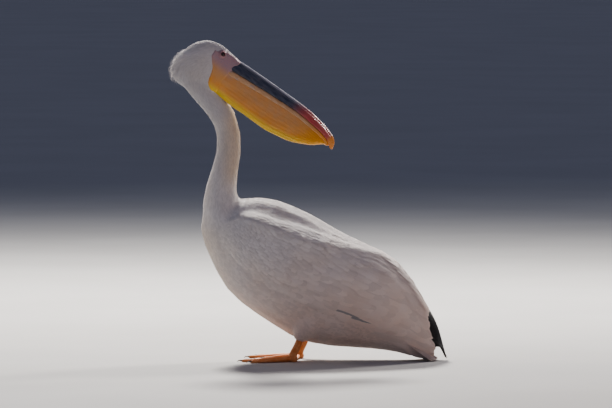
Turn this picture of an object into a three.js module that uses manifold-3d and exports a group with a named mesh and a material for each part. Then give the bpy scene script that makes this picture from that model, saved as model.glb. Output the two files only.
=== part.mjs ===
// A great white pelican at rest, as a still life-size model: it stands low, with its tail on the
// ground and its head turned back over its shoulders. Millimetres, +Z up. The bird faces -Y and its
// left side is +X. The origin is on the ground, under the middle of the whole bird.
import * as THREE from "three";
import { mergeVertices } from "three/addons/utils/BufferGeometryUtils.js";
import Module from "manifold-3d";

const wasm = await Module();
wasm.setup();

const rad = THREE.MathUtils.degToRad;
const vec = (x, y, z) => new THREE.Vector3(x, y, z);
const X = vec(1, 0, 0);
const Y = vec(0, 1, 0);
const Z = vec(0, 0, 1);

// ---------------------------------------------------------------- driving dimensions

const GAP = 0.4; // between pieces that touch
const SLACK = 0.02; // how far a face may move when the slivers left by the cuts are cleared away
const BREAST = { y: -290, z: 400 }; // where the body's own axis starts, at the front of the breast
const BODY_TILT = rad(30); // the body's axis falls this much towards the tail
const WING_TIP = 776; // from the breast to the tips of the flight feathers, along the body's axis

const BILL = { length: 365, x: 19, y: -205, z: 846, pitch: rad(38.8) }; // root of the ridge, and its dip
const HEAD_YAW = rad(8); // the bill swings this far to the bird's left, about the top of the neck
const HEAD_FLOOR = -100; // the head ends this far below the bill's ridge line
const EYE = { radius: 8.5, u: -40, v: -13, w: 19.6 };

const NECK_BASE = 470; // heights of the two cuts across the neck
const NECK_MIDDLE = 600;

const STANCE = 66; // each foot from the middle of the body
const FOOT_Y = { left: -52, right: -34 };
const ANKLE = 15; // height of the joint between shank and toes
const THIGH_END = 56; // height where the leg's feathers end
const WEB = 3; // thickness of the foot's web

// ---------------------------------------------------------------- materials

const finish = (color, roughness) => new THREE.MeshStandardMaterial({ color, roughness, metalness: 0 });
const white = finish(0xe9e4dc, 0.85);
const blush = finish(0xe6d5c8, 0.85);
const black = finish(0x1d1b1c, 0.6);
const grey = finish(0x8f97a6, 0.45);
const orange = finish(0xe39a3c, 0.5);
const yellow = finish(0xe8a72e, 0.5);
const flesh = finish(0xe08a5c, 0.55);
const iris = finish(0x3a1410, 0.1);

// ---------------------------------------------------------------- shapes

// A smooth function through a few [place, size] pairs, level outside them.
function through(...pairs) {
  const at = pairs.map((pair) => pair[0]);
  const size = pairs.map((pair) => pair[1]);
  const last = at.length - 1;
  const secant = size.slice(1).map((next, i) => (next - size[i]) / (at[i + 1] - at[i]));
  const slope = size.map((_, i) => {
    if (i === 0) return secant[0];
    if (i === last) return secant[last - 1];
    const product = secant[i - 1] * secant[i];
    return product <= 0 ? 0 : (2 * product) / (secant[i - 1] + secant[i]);
  });
  return (place) => {
    const here = THREE.MathUtils.clamp(place, at[0], at[last]);
    let i = 0;
    while (i < last - 1 && here > at[i + 1]) i++;
    const width = at[i + 1] - at[i];
    const f = (here - at[i]) / width;
    const toNext = f * f * (3 - 2 * f);
    const bend = f * (1 - f) * ((1 - f) * slope[i] - f * slope[i + 1]) * width;
    return size[i] + toNext * (size[i + 1] - size[i]) + bend;
  };
}

// Rings of points joined into one closed skin, with a fan over each end.
function loft(rings) {
  const sides = rings[0].length;
  const points = rings.flat();
  const faces = [];
  rings.slice(1).forEach((_, r) => {
    for (let i = 0; i < sides; i++) {
      const j = (i + 1) % sides;
      const [a, b, c, d] = [r * sides + i, r * sides + j, (r + 1) * sides + j, (r + 1) * sides + i];
      faces.push(a, b, c, a, c, d);
    }
  });
  for (const [ring, start, flip] of [[rings[0], 0, true], [rings.at(-1), (rings.length - 1) * sides, false]]) {
    const centre = ring.reduce((sum, p) => sum.add(p), vec(0, 0, 0)).divideScalar(sides);
    points.push(centre);
    for (let i = 0; i < sides; i++) {
      const pair = [start + i, start + ((i + 1) % sides)];
      faces.push(points.length - 1, ...(flip ? pair.reverse() : pair));
    }
  }
  const geometry = new THREE.BufferGeometry().setFromPoints(points);
  geometry.setIndex(faces);
  return geometry;
}

// The signed volume of a closed geometry, negative when it is inside out.
function volumeOf(geometry) {
  const place = geometry.attributes.position;
  const corner = (i) => vec(0, 0, 0).fromBufferAttribute(place, geometry.index.getX(i));
  let sum = 0;
  for (let i = 0; i < geometry.index.count; i += 3) sum += corner(i).dot(corner(i + 1).cross(corner(i + 2)));
  return sum / 6;
}

// A closed geometry as a manifold-3d solid, for cutting and joining.
function solid(geometry) {
  const bare = geometry.clone();
  bare.deleteAttribute("normal");
  bare.deleteAttribute("uv");
  const merged = mergeVertices(bare, 1e-4);
  const triVerts = new Uint32Array(merged.index.array);
  if (volumeOf(merged) < 0) triVerts.reverse();
  return new wasm.Manifold(
    new wasm.Mesh({ numProp: 3, vertProperties: merged.attributes.position.array, triVerts }),
  );
}

// Everything on the normal's side of a plane, as far as the bird reaches.
function halfSpace(point, normal) {
  const reach = 3000;
  const box = new THREE.BoxGeometry(reach, reach, reach).translate(0, 0, reach / 2);
  box.applyQuaternion(new THREE.Quaternion().setFromUnitVectors(Z, normal.clone().normalize()));
  return solid(box.translate(point.x, point.y, point.z));
}

const above = (z) => halfSpace(vec(0, 0, z), Z);
const below = (z) => halfSpace(vec(0, 0, z), Z.clone().negate());
const join = (solids) => solids.reduce((whole, piece) => whole.add(piece));

// The largest body of a solid: a cut can leave crumbs beside it.
function mainBody(shape) {
  return shape.decompose().reduce((best, body) => (body.volume() > best.volume() ? body : best));
}

// A tube along a smooth path: wide and deep are half sizes as functions of the share of its length.
function tube(points, wide, deep, { steps = 14, sides = 14, grow = 0, side = X } = {}) {
  const path = new THREE.CatmullRomCurve3(points);
  const rings = [];
  for (let i = 0; i <= steps; i++) {
    const s = (1 - Math.cos((Math.PI * i) / steps)) / 2;
    const along = path.getTangentAt(s);
    const across = side.clone().addScaledVector(along, -side.dot(along)).normalize();
    const up = vec(0, 0, 0).crossVectors(across, along);
    const centre = path.getPointAt(s);
    if (i === 0) centre.addScaledVector(along, -grow);
    if (i === steps) centre.addScaledVector(along, grow);
    const ring = [];
    for (let k = 0; k < sides; k++) {
      const turn = (2 * Math.PI * k) / sides;
      ring.push(
        centre
          .clone()
          .addScaledVector(across, (wide(s) + grow) * Math.cos(turn))
          .addScaledVector(up, (deep(s) + grow) * Math.sin(turn)),
      );
    }
    rings.push(ring);
  }
  return loft(rings);
}

// A half size that swells from a blunt start and closes to a blunt end, for tubes with round ends.
const rounded = (size, startShare, endShare, tip = 0.12) => (s) => {
  const dome = (near, share) => (near >= share ? 1 : Math.sqrt(1 - (1 - near / share) ** 2));
  return size(s) * Math.max(tip, Math.min(dome(s, startShare), dome(1 - s, endShare)));
};

// ---------------------------------------------------------------- the body's outer shape

// Sizes along the body's axis, from the breast at 0: the back, the belly and the half width.
const backLine = through([-14, -8], [0, 30], [20, 58], [60, 104], [146, 147], [278, 161], [400, 163],
  [457, 167], [510, 162], [576, 140], [637, 106], [698, 69], [WING_TIP, -2]);
const bellyLine = through([-14, -26], [0, -44], [20, -64], [77, -106], [127, -139], [180, -158],
  [267, -168], [378, -172], [458, -150], [585, -88], [666, -56], [WING_TIP, -34]);
const halfWidth = through([-14, 22], [0, 46], [25, 64], [80, 96], [160, 124], [280, 138], [400, 130],
  [500, 108], [585, 80], [666, 50], [740, 30], [WING_TIP, 14]);
const rumpLine = through([520, 175], [580, 120], [640, 62], [692, -22]);

function bodyPoint(x, along, up) {
  const [c, s] = [Math.cos(BODY_TILT), Math.sin(BODY_TILT)];
  return vec(x, BREAST.y + along * c + up * s, BREAST.z - along * s + up * c);
}

function trunkShape(grow = 0) {
  const [start, end, steps, sides] = [-14, 692, 19, 22];
  const rings = [];
  for (let i = 0; i <= steps; i++) {
    const t = start + ((end - start) * (1 - Math.cos((Math.PI * i) / steps))) / 2;
    const top = Math.min(backLine(t), t > 520 ? rumpLine(t) : Infinity);
    const middle = (top + bellyLine(t)) / 2;
    const half = (top - bellyLine(t)) / 2 + grow;
    const past = i === 0 ? -grow : i === steps ? grow : 0;
    rings.push(
      Array.from({ length: sides }, (_, k) => {
        const turn = (2 * Math.PI * k) / sides;
        return bodyPoint((halfWidth(t) + grow) * Math.cos(turn), t + past, middle + half * Math.sin(turn));
      }),
    );
  }
  return solid(loft(rings));
}

// ---------------------------------------------------------------- wings

// The folded wing's lower and upper edge up the flank, how far it stands proud, and how deep it lies.
const WRIST = 42;
const WING_END = 742;
const wingLow = through([WRIST, 8], [62, -28], [105, -52], [200, -64], [300, -66], [422, -56], [530, -52],
  [620, -46], [700, -34], [WING_END, -20]);
const wingHigh = through([WRIST, 20], [62, 52], [78, 70], [112, 86], [204, 104], [300, 124], [380, 148],
  [430, 170], [660, 170], [690, 74], [715, 36], [WING_END, -8]);
const wingProud = through([WRIST, 2], [100, 11], [400, 11], [600, 7], [WING_END, 2]);
const wingDeep = through([WRIST, 2], [110, 13], [500, 13], [640, 8], [WING_END, 3]);

function wingShape(side, grow = 0) {
  const [steps, across, blunt] = [16, 5, 0.22];
  const rings = [];
  for (let i = 0; i <= steps; i++) {
    const t = WRIST + ((WING_END - WRIST) * (1 - Math.cos((Math.PI * i) / steps))) / 2;
    const past = i === 0 ? -grow : i === steps ? grow : 0;
    const middle = (backLine(t) + bellyLine(t)) / 2;
    const half = (backLine(t) - bellyLine(t)) / 2;
    const angle = (up) => Math.asin(THREE.MathUtils.clamp((up - middle) / half, -1, 1));
    const margin = grow / half;
    const [low, high] = [angle(wingLow(t)) - margin, angle(wingHigh(t)) + margin];
    const at = (share, offset) => {
      const turn = low + (high - low) * share;
      const x = Math.max((halfWidth(t) + offset) * Math.cos(turn), GAP / 2 - grow);
      return bodyPoint(side * x, t + past, middle + (half + offset) * Math.sin(turn));
    };
    const swell = (share) => blunt + (1 - blunt) * Math.sqrt(Math.max(0, 1 - (2 * share - 1) ** 2));
    const shares = Array.from({ length: across + 1 }, (_, k) => k / across);
    rings.push([
      ...shares.map((share) => at(share, wingProud(t) * swell(share) + grow)),
      ...shares.reverse().map((share) => at(share, -wingDeep(t) * swell(share) - grow)),
    ]);
  }
  return solid(loft(rings));
}

// The stack of black flight feathers behind each wing, down to its tip.
function flightShape(side, grow = 0) {
  const path = [bodyPoint(side * 17, 590, 66), bodyPoint(side * 14, 680, 56), bodyPoint(side * 9, 735, 26),
    bodyPoint(side * 5, WING_TIP, -3)];
  const thick = rounded(through([0, 5], [0.6, 4], [1, 2.2]), 0.02, 0.04, 0.5);
  const high = rounded(through([0, 24], [0.5, 27], [0.8, 17], [1, 6]), 0.05, 0.08, 0.4);
  return solid(tube(path, thick, high, { steps: 9, sides: 8, grow }));
}

// ---------------------------------------------------------------- tail

function tailShape(grow = 0) {
  const path = [vec(0, 205, 118), vec(0, 285, 54), vec(0, 345, 7), vec(0, 352, 2.5)];
  const wide = rounded(through([0, 40], [0.55, 62], [1, 72]), 0.05, 0.14, 0.45);
  const deep = through([0, 15], [0.55, 7], [1, 3]);
  return solid(tube(path, wide, deep, { steps: 7, sides: 12, grow }));
}

// ---------------------------------------------------------------- neck and head

function neckShape(grow = 0) {
  const path = [vec(0, -200, 305), vec(0, -232, 365), vec(0, -251, 425), vec(0, -252, 480), vec(0, -241, 535),
    vec(0, -232, 575), vec(0, -230, 620), vec(0, -235, 660), vec(0, -254, 700), vec(0, -285, 739), vec(0, -322, 784),
    vec(0, -330, 800)];
  const sagittal = rounded(through([0, 84], [0.12, 73], [0.24, 60], [0.34, 48], [0.44, 40], [0.52, 37.5],
    [0.66, 36], [0.85, 37.5], [1, 38]), 0.03, 0.03, 0.7);
  const lateral = rounded(through([0, 100], [0.12, 86], [0.24, 66], [0.34, 49], [0.44, 38], [0.55, 32],
    [0.75, 31.5], [1, 33]), 0.03, 0.03, 0.7);
  return solid(tube(path, lateral, sagittal, { steps: 17, sides: 18, grow }));
}

// The soft crop that fills the corner between the neck and the breast.
function cropShape() {
  return solid(new THREE.SphereGeometry(1, 20, 14).scale(74, 57, 74).translate(0, -250, 398));
}

// The head's own frame: local Y runs down the bill from the root of its ridge, local Z is up from it.
const headFrame = new THREE.Matrix4()
  .makeTranslation(BILL.x, BILL.y, BILL.z)
  .multiply(new THREE.Matrix4().makeRotationZ(-HEAD_YAW))
  .multiply(new THREE.Matrix4().makeRotationX(-BILL.pitch));
const inHead = (geometry) => solid(geometry.applyMatrix4(headFrame));
const headPlane = (u, v, normal) =>
  halfSpace(vec(0, u, v).applyMatrix4(headFrame), normal.clone().transformDirection(headFrame));

// Rings across the head's axis: each station gives the crown, the underside and the half width.
function headLoft(stations, sides, section) {
  return loft(
    stations.map((u) =>
      Array.from({ length: sides }, (_, k) => {
        const turn = (2 * Math.PI * k) / sides;
        const [w, v] = section(u, Math.cos(turn), Math.sin(turn));
        return vec(w, u, v);
      }),
    ),
  );
}

const evenly = (from, to, steps) => Array.from({ length: steps + 1 }, (_, i) => from + ((to - from) * i) / steps);

function skullShape(grow = 0) {
  const crown = through([-139, -92], [-135, -66], [-127, -40], [-108, -14], [-84, 1], [-60, 6], [-28, 6], [5, 1]);
  const floor = through([-139, -118], [-133, -140], [-122, -153], [-98, -160], [-63, -158], [-20, -130], [5, -114]);
  const half = through([-139, 11], [-133, 23], [-120, 31], [-96, 36], [-70, 36.5], [-45, 33], [-20, 31], [5, 29]);
  const square = through([-110, 0.95], [-60, 0.66], [5, 0.7]);
  const stations = [-139, -137, -132, -122, -106, -85, -60, -35, -12, 5 - GAP / 2];
  return inHead(
    headLoft(stations, 20, (u, c, s) => {
      const middle = (crown(u) + floor(u)) / 2;
      const deep = (crown(u) - floor(u)) / 2 + grow;
      return [(half(u) + grow) * Math.sign(c) * Math.abs(c) ** square(u), middle + deep * s];
    }),
  );
}

// The ragged tuft at the back of the head.
function crestShape() {
  const lock = (w, spread, length) =>
    inHead(
      tube([vec(w, -120, -92), vec(w + spread, -136, -122), vec(w + 2 * spread, -140, -122 - length)],
        rounded(through([0, 7], [0.4, 8], [1, 2]), 0.05, 0.05, 0.5),
        rounded(through([0, 9], [0.4, 9], [1, 2]), 0.05, 0.05, 0.5), { steps: 4, sides: 6 }),
    );
  return join([lock(-8, -3, 20), lock(0, 0, 34), lock(8, 3, 22)]);
}

function eyeShape(side, grow = 0) {
  const ball = new THREE.SphereGeometry(EYE.radius + grow, 10, 8);
  return inHead(ball.translate(side * EYE.w, EYE.u, EYE.v));
}

// ---------------------------------------------------------------- bill and pouch

const billHalf = through([5, 28], [60, 23], [150, 19], [240, 20], [310, 22], [340, 17], [355, 9], [BILL.length, 3.5]);
const ridgeLine = through([5, 1], [73, 7], [158, 13], [244, 17], [304, 12], [340, 3], [354, -4], [BILL.length, -14]);
const palateLine = through([5, -31], [60, -24], [150, -13], [244, -5], [304, -7], [335, -13], [350, -22], [BILL.length, -27]);
const pouchLine = through([5, -114], [72, -114], [116, -109], [181, -105], [246, -89], [303, -62], [338, -38], [352, -32]);

// The lower jaw's two thin arms run this far under the palate, and this much above and below that.
const ramusHigh = through([8, 8], [170, 6.5], [343, 5]);
const ramusDrop = (u) => ramusHigh(u) + 1;

function upperBill(grow = 0) {
  const stations = [5 + GAP / 2, ...evenly(30, 325, 8), 340, 350, 357, BILL.length];
  return inHead(
    headLoft(stations, 16, (u, c, s) => {
      const [top, bottom] = [ridgeLine(u), palateLine(u)];
      const edge = bottom + (top - bottom) * 0.22;
      const w = (billHalf(u) + grow) * c;
      const ridge = s > 0 ? 0.55 * Math.sin((Math.PI / 2) * s) ** 2 + 0.45 * s ** 6 : 0;
      return [w, s > 0 ? edge + (top - edge + grow) * ridge : edge - (edge - bottom + grow) * -s];
    }),
  );
}

function lowerBill(grow = 0) {
  const jaw = (side) => {
    const places = evenly(8, 343, 8);
    const path = places.map((u) => vec(side * Math.max(billHalf(u) - 4.5, 4), u, palateLine(u) - ramusDrop(u)));
    const thick = rounded(() => 4.6, 0.01, 0.02, 0.7);
    const high = rounded((s) => ramusHigh(8 + 335 * s), 0.01, 0.02, 0.7);
    return tube(path, thick, high, { steps: 9, sides: 6, grow });
  };
  const chin = new THREE.SphereGeometry(1, 10, 6).scale(11 + grow, 17 + grow, 4 + grow).translate(0, 334, palateLine(334) - ramusDrop(334));
  return join([inHead(jaw(1)), inHead(jaw(-1)), inHead(chin)]);
}

function pouchShape() {
  const stations = [5 + GAP / 2, ...evenly(30, 325, 8), 338];
  return inHead(
    headLoft(stations, 16, (u, c, s) => {
      const top = palateLine(u) - ramusDrop(u) - ramusHigh(u) - GAP;
      const share = Math.max(0, -s);
      const swell = 1 + 0.12 * Math.sin(Math.PI * share);
      return [(billHalf(u) - 3) * swell * Math.sign(c) * Math.abs(c) ** 0.8, s > 0 ? top : top + (top - pouchLine(u)) * s];
    }),
  );
}

// ---------------------------------------------------------------- legs

const TOES = [
  { out: 24, length: 128, girth: 7 },
  { out: 3, length: 142, girth: 7.5 },
  { out: -22, length: 108, girth: 6.5 },
  { out: -86, length: 54, girth: 5.5 },
];
const CLAW = 13;

const toePoint = (toe, share, z) =>
  vec(Math.sin(rad(toe.out)) * toe.length * share, -Math.cos(rad(toe.out)) * toe.length * share, z);

function toeShape(toe) {
  const path = [toePoint(toe, 0, 11), toePoint(toe, 0.3, 8), toePoint(toe, 0.7, 5.5), toePoint(toe, 1, 3.5)];
  const knuckles = (s) => 1 + 0.08 * Math.cos(s * 4 * Math.PI);
  const girth = rounded((s) => toe.girth * (1 - 0.45 * s) * knuckles(s), 0.02, 0.06, 0.5);
  return solid(tube(path, girth, girth, { steps: 7, sides: 6, side: Z }));
}

function clawShape(toe) {
  const reach = 1 + CLAW / toe.length;
  const path = [toePoint(toe, 0.97, 4.5), toePoint(toe, (1 + reach) / 2, 5), toePoint(toe, reach, 1.6)];
  const taper = through([0, 3], [0.5, 2.4], [1, 0.9]);
  return solid(tube(path, taper, taper, { steps: 2, sides: 5, side: Z }));
}

// The web joins all four toes, hollowed between their tips.
function webShape() {
  const outline = new THREE.Shape();
  const tips = TOES.map((toe) => toePoint(toe, 0.96, 0));
  outline.moveTo(0, 8);
  outline.lineTo(tips[0].x, tips[0].y);
  tips.slice(1).forEach((tip, i) => {
    const between = tips[i].clone().add(tip).multiplyScalar(0.41);
    outline.quadraticCurveTo(between.x, between.y, tip.x, tip.y);
  });
  outline.closePath();
  return solid(new THREE.ExtrudeGeometry(outline, { depth: WEB, bevelEnabled: false, curveSegments: 5 }));
}

// One foot, its joint over the frame's origin; out is 1 for a left foot and -1 for a right one.
function footShape(out) {
  const joint = solid(new THREE.SphereGeometry(1, 10, 7).scale(11, 13, 12).translate(0, 2, 8));
  const whole = join([joint, webShape(), ...TOES.map(toeShape), ...TOES.map(clawShape)]);
  const flatSoled = whole.intersect(above(0)).intersect(below(ANKLE));
  return out > 0 ? flatSoled : flatSoled.mirror([1, 0, 0]);
}

function shankShape(grow = 0) {
  const path = [vec(0, 0, ANKLE + GAP), vec(0, 12, 40), vec(0, 26, 72)];
  const girth = (across) => rounded(through([0, across * 1.15], [0.3, across], [1, across]), 0.01, 0.01, 0.9);
  return solid(tube(path, girth(7.5), girth(10.5), { steps: 5, sides: 10, grow })).intersect(above(ANKLE + GAP - grow));
}

function thighShape(grow = 0) {
  const path = [vec(4, 75, 160), vec(2, 48, 112), vec(0, 24, 74), vec(0, 17, THIGH_END)];
  const girth = rounded(through([0, 46], [0.45, 44], [0.8, 30], [1, 21]), 0.1, 0.1, 0.5);
  return solid(tube(path, girth, girth, { steps: 7, sides: 12, grow }));
}

// ---------------------------------------------------------------- parts, cut clear of each other

const trunkWhole = trunkShape();
const neckWhole = neckShape();
const skull = skullShape();
const flesh_ = join([trunkWhole, neckWhole, cropShape(), skull]);

const sides = { left: 1, right: -1 };
const legPlace = (name) => vec(sides[name] * STANCE, FOOT_Y[name], 0);
const atLeg = (shape, name) => shape.translate(legPlace(name).toArray());

const pieces = {};

pieces.head = flesh_.intersect(headPlane(0, HEAD_FLOOR + GAP / 2, Z)).intersect(headPlane(5 - GAP / 2, 0, Y.clone().negate()));
const neckOnly = flesh_.intersect(headPlane(0, HEAD_FLOOR - GAP / 2, Z.clone().negate()));
pieces.neck_upper = neckOnly.intersect(above(NECK_MIDDLE + GAP / 2));
pieces.neck_lower = neckOnly.intersect(above(NECK_BASE + GAP / 2)).intersect(below(NECK_MIDDLE - GAP / 2));
pieces.trunk = flesh_.intersect(below(NECK_BASE - GAP / 2));

pieces.crest = crestShape().subtract(skullShape(GAP)).subtract(neckShape(GAP));
// The head looks back over the tail, so its left eye is on the body's right side.
for (const [name, side] of Object.entries(sides)) {
  pieces[`eye_${name}`] = eyeShape(-side);
  pieces.head = pieces.head.subtract(eyeShape(-side, GAP));
}

pieces.bill_upper = upperBill();
pieces.bill_lower = lowerBill().subtract(upperBill(GAP));
pieces.pouch = pouchShape().subtract(upperBill(GAP)).subtract(lowerBill(GAP)).subtract(neckShape(GAP));

for (const [name, side] of Object.entries(sides)) {
  pieces[`wing_${name}`] = wingShape(side);
  pieces.trunk = pieces.trunk.subtract(wingShape(side, GAP));
  pieces[`thigh_${name}`] = atLeg(thighShape(), name).subtract(atLeg(shankShape(GAP), name));
  pieces.trunk = pieces.trunk.subtract(atLeg(thighShape(GAP), name));
}

const tailHole = join([trunkShape(GAP), wingShape(1, GAP), wingShape(-1, GAP)]);
pieces.tail = tailShape().subtract(tailHole).intersect(above(0));
for (const [name, side] of Object.entries(sides)) {
  const clear = flightShape(side).subtract(tailHole).subtract(tailShape(GAP));
  pieces[`flight_feathers_${name}`] = clear.intersect(above(0.6)).intersect(halfSpace(vec(side * GAP, 0, 0), vec(side, 0, 0)));
}

// ---------------------------------------------------------------- the model

function meshOf(name, shape, material) {
  const made = mainBody(shape).simplify(SLACK).getMesh();
  const geometry = new THREE.BufferGeometry();
  geometry.setAttribute("position", new THREE.BufferAttribute(made.vertProperties, made.numProp));
  geometry.setIndex(new THREE.BufferAttribute(made.triVerts, 1));
  const mesh = new THREE.Mesh(geometry, material);
  mesh.name = name;
  return mesh;
}

const looks = {
  head: white, crest: white, neck_upper: blush, neck_lower: white, trunk: white, tail: white,
  eye_left: iris, eye_right: iris, bill_upper: grey, bill_lower: orange, pouch: yellow,
  wing_left: white, wing_right: white, thigh_left: blush, thigh_right: blush,
  flight_feathers_left: black, flight_feathers_right: black,
};

const pelican = new THREE.Group();
for (const [name, shape] of Object.entries(pieces)) pelican.add(meshOf(name, shape, looks[name]));

for (const [name, side] of Object.entries(sides)) {
  const leg = new THREE.Group();
  leg.position.copy(legPlace(name));
  leg.add(meshOf(`shank_${name}`, shankShape(), flesh));
  leg.add(meshOf(`foot_${name}`, footShape(side), flesh));
  pelican.add(leg);
}

// The origin goes on the ground, under the middle of the bird's box.
const box = new THREE.Box3().setFromObject(pelican, true);
const middle = box.getCenter(vec(0, 0, 0));
pelican.position.set(-middle.x, -middle.y, -box.min.z);

export default pelican;
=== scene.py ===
"""A great white pelican at rest, its head turned back over its shoulders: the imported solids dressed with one
skin, solid feathers, a horn bill and its pouch, a bare face, wet eyes and scaled webbed feet. Metres."""

import math

import bmesh
import bpy
import numpy as np
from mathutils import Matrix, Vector
from mathutils.bvhtree import BVHTree


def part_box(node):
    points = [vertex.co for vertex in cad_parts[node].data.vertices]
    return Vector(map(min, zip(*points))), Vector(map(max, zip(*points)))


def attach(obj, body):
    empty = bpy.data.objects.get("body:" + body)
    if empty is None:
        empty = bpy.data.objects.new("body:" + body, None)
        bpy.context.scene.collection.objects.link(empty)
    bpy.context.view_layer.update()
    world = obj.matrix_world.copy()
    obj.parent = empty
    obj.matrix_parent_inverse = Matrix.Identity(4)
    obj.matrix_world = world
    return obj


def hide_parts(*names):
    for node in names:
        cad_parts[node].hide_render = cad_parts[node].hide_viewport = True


MM = 0.001
TAU = 2 * math.pi
X = np.array([1.0, 0, 0])
Z = np.array([0, 0, 1.0])
SIDES = {"left": 1, "right": -1}

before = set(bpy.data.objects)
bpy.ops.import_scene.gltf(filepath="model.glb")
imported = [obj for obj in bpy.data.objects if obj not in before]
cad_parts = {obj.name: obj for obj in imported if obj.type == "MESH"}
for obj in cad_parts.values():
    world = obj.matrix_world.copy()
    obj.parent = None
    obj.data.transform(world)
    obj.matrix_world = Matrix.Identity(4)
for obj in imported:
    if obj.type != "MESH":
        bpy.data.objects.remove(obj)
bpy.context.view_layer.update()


# ---- small helpers


def through(*pairs):
    """A smooth function through (place, size) pairs, level outside them. It takes numbers or arrays."""
    at, size = np.array(pairs, float).T
    secant = np.diff(size) / np.diff(at)
    before, after = secant[:-1], secant[1:]
    product = before * after
    bends = np.divide(2 * product, before + after, out=np.zeros(len(product)), where=product > 0)
    slope = np.concatenate([secant[:1], bends, secant[-1:]])

    def value(place):
        here = np.clip(place, at[0], at[-1])
        i = np.clip(np.searchsorted(at, here, side="right") - 1, 0, len(at) - 2)
        width = at[i + 1] - at[i]
        f = (here - at[i]) / width
        bend = f * (1 - f) * ((1 - f) * slope[i] - f * slope[i + 1]) * width
        return size[i] + f * f * (3 - 2 * f) * (size[i + 1] - size[i]) + bend

    return value


def ease(low, high, value):
    """Smoothly from 0 at low to 1 at high."""
    f = np.clip((value - low) / (high - low), 0, 1)
    return f * f * (3 - 2 * f)


def bell(value, middle, width):
    return np.exp(-(((value - middle) / width) ** 2))


def unit(vectors):
    return vectors / np.maximum(np.linalg.norm(vectors, axis=-1, keepdims=True), 1e-12)


def between(high, low):
    """The middle of a span and half its size."""
    return (high + low) / 2, (high - low) / 2


def around(count):
    return np.linspace(0, TAU, count, endpoint=False)


def distance_along(points):
    return np.concatenate([[0], np.cumsum(np.linalg.norm(np.diff(points, axis=0), axis=1))])


def turn_x(angle):
    c, s = math.cos(angle), math.sin(angle)
    return np.array([[1, 0, 0], [0, c, -s], [0, s, c]])


def turn_z(angle):
    c, s = math.cos(angle), math.sin(angle)
    return np.array([[c, -s, 0], [s, c, 0], [0, 0, 1]])


# ---- where things are, in millimetres

# The feet: how far from the midline, and how far along.
STANCE = 66
FOOT_Y = {"left": -52, "right": -34}

# The head's own frame: w across, u down the bill from the root of its ridge, v up from the ridge line.
BILL_PITCH = math.radians(38.8)
HEAD_YAW = math.radians(8)
HEAD = turn_z(-HEAD_YAW) @ turn_x(-BILL_PITCH)
EYE_U, EYE_V, EYE_W = -40.0, -13.0, 19.6
EYE_RADIUS = 8.5
EYE_TILT = math.radians(18)
# The eye looks out to the side, a little up and forward.
EYE_AXIS = unit(np.array([math.cos(EYE_TILT), 0.12, math.sin(EYE_TILT)]))
# The head looks back over the tail, so its left eye is on the body's right side, at -X.
HEAD_SIDES = {"left": -1, "right": 1}
eyes_middle = sum(np.add(*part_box("eye_" + name)) for name in HEAD_SIDES) / 4
HEAD_ORIGIN = eyes_middle - HEAD @ np.array([0, EYE_U, EYE_V]) * MM


def head_to_world(w, u, v):
    return HEAD_ORIGIN + (np.stack(np.broadcast_arrays(w, u, v), axis=-1) * MM) @ HEAD.T


def world_to_head(points):
    return np.moveaxis((points - HEAD_ORIGIN) @ HEAD / MM, -1, 0)


# The body's own frame: t along its axis from the breast, h up from it.
BODY_TILT = math.radians(30)
CAD_SHIFT = HEAD_ORIGIN[1] + 205 * MM
BREAST = np.array([0, -290 * MM + CAD_SHIFT, 400 * MM])
BODY_AXIS = np.array([0, math.cos(BODY_TILT), -math.sin(BODY_TILT)])
BODY_UP = np.array([0, math.sin(BODY_TILT), math.cos(BODY_TILT)])


def body_to_world(x, t, h):
    x, t, h = (values[..., None] for values in np.broadcast_arrays(x, t, h))
    return BREAST + MM * (x * X + t * BODY_AXIS + h * BODY_UP)


def world_to_body(points):
    local = points - BREAST
    return local[..., 0] / MM, local @ BODY_AXIS / MM, local @ BODY_UP / MM


WING_TIP = 776
back_line = through((-14, -8), (0, 30), (20, 58), (60, 104), (146, 147), (278, 161), (400, 163), (457, 167),
                    (510, 162), (576, 140), (637, 106), (698, 69), (WING_TIP, -2))
belly_line = through((-14, -26), (0, -44), (20, -64), (77, -106), (127, -139), (180, -158), (267, -168),
                     (378, -172), (458, -150), (585, -88), (666, -56), (WING_TIP, -34))
half_width = through((-14, 22), (0, 46), (25, 64), (80, 96), (160, 124), (280, 138), (400, 130), (500, 108),
                     (585, 80), (666, 50), (740, 30), (WING_TIP, 14))
wing_low = through((42, 8), (62, -28), (105, -52), (200, -64), (300, -66), (422, -56), (530, -52), (620, -46),
                   (700, -34), (742, -20))
wing_high = through((42, 20), (62, 52), (78, 70), (112, 86), (204, 104), (300, 124), (380, 148), (430, 170),
                    (660, 170), (690, 74), (715, 36), (742, -8))

# Outlines down the bill: half width, ridge, palate, the pouch's lower edge, the lower jaw's half height.
BILL_ROOT = 5
BILL_LENGTH = 365
bill_half = through((BILL_ROOT, 28), (60, 23), (150, 19), (240, 20), (310, 22), (340, 17), (354, 10.5),
                    (361, 6), (BILL_LENGTH, 1))
ridge_line = through((BILL_ROOT, 1), (73, 7), (158, 13), (244, 17), (304, 12), (340, 3), (352, -4),
                     (360, -12), (BILL_LENGTH, -24))
palate_line = through((BILL_ROOT, -31), (60, -24), (150, -13), (244, -5), (304, -7), (335, -13),
                      (350, -22), (360, -28), (BILL_LENGTH, -27))
pouch_line = through((BILL_ROOT, -114), (72, -114), (116, -109), (181, -105), (246, -89), (303, -62),
                     (338, -38), (352, -32))
ramus_high = through((8, 8), (170, 6.5), (343, 5))

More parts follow.
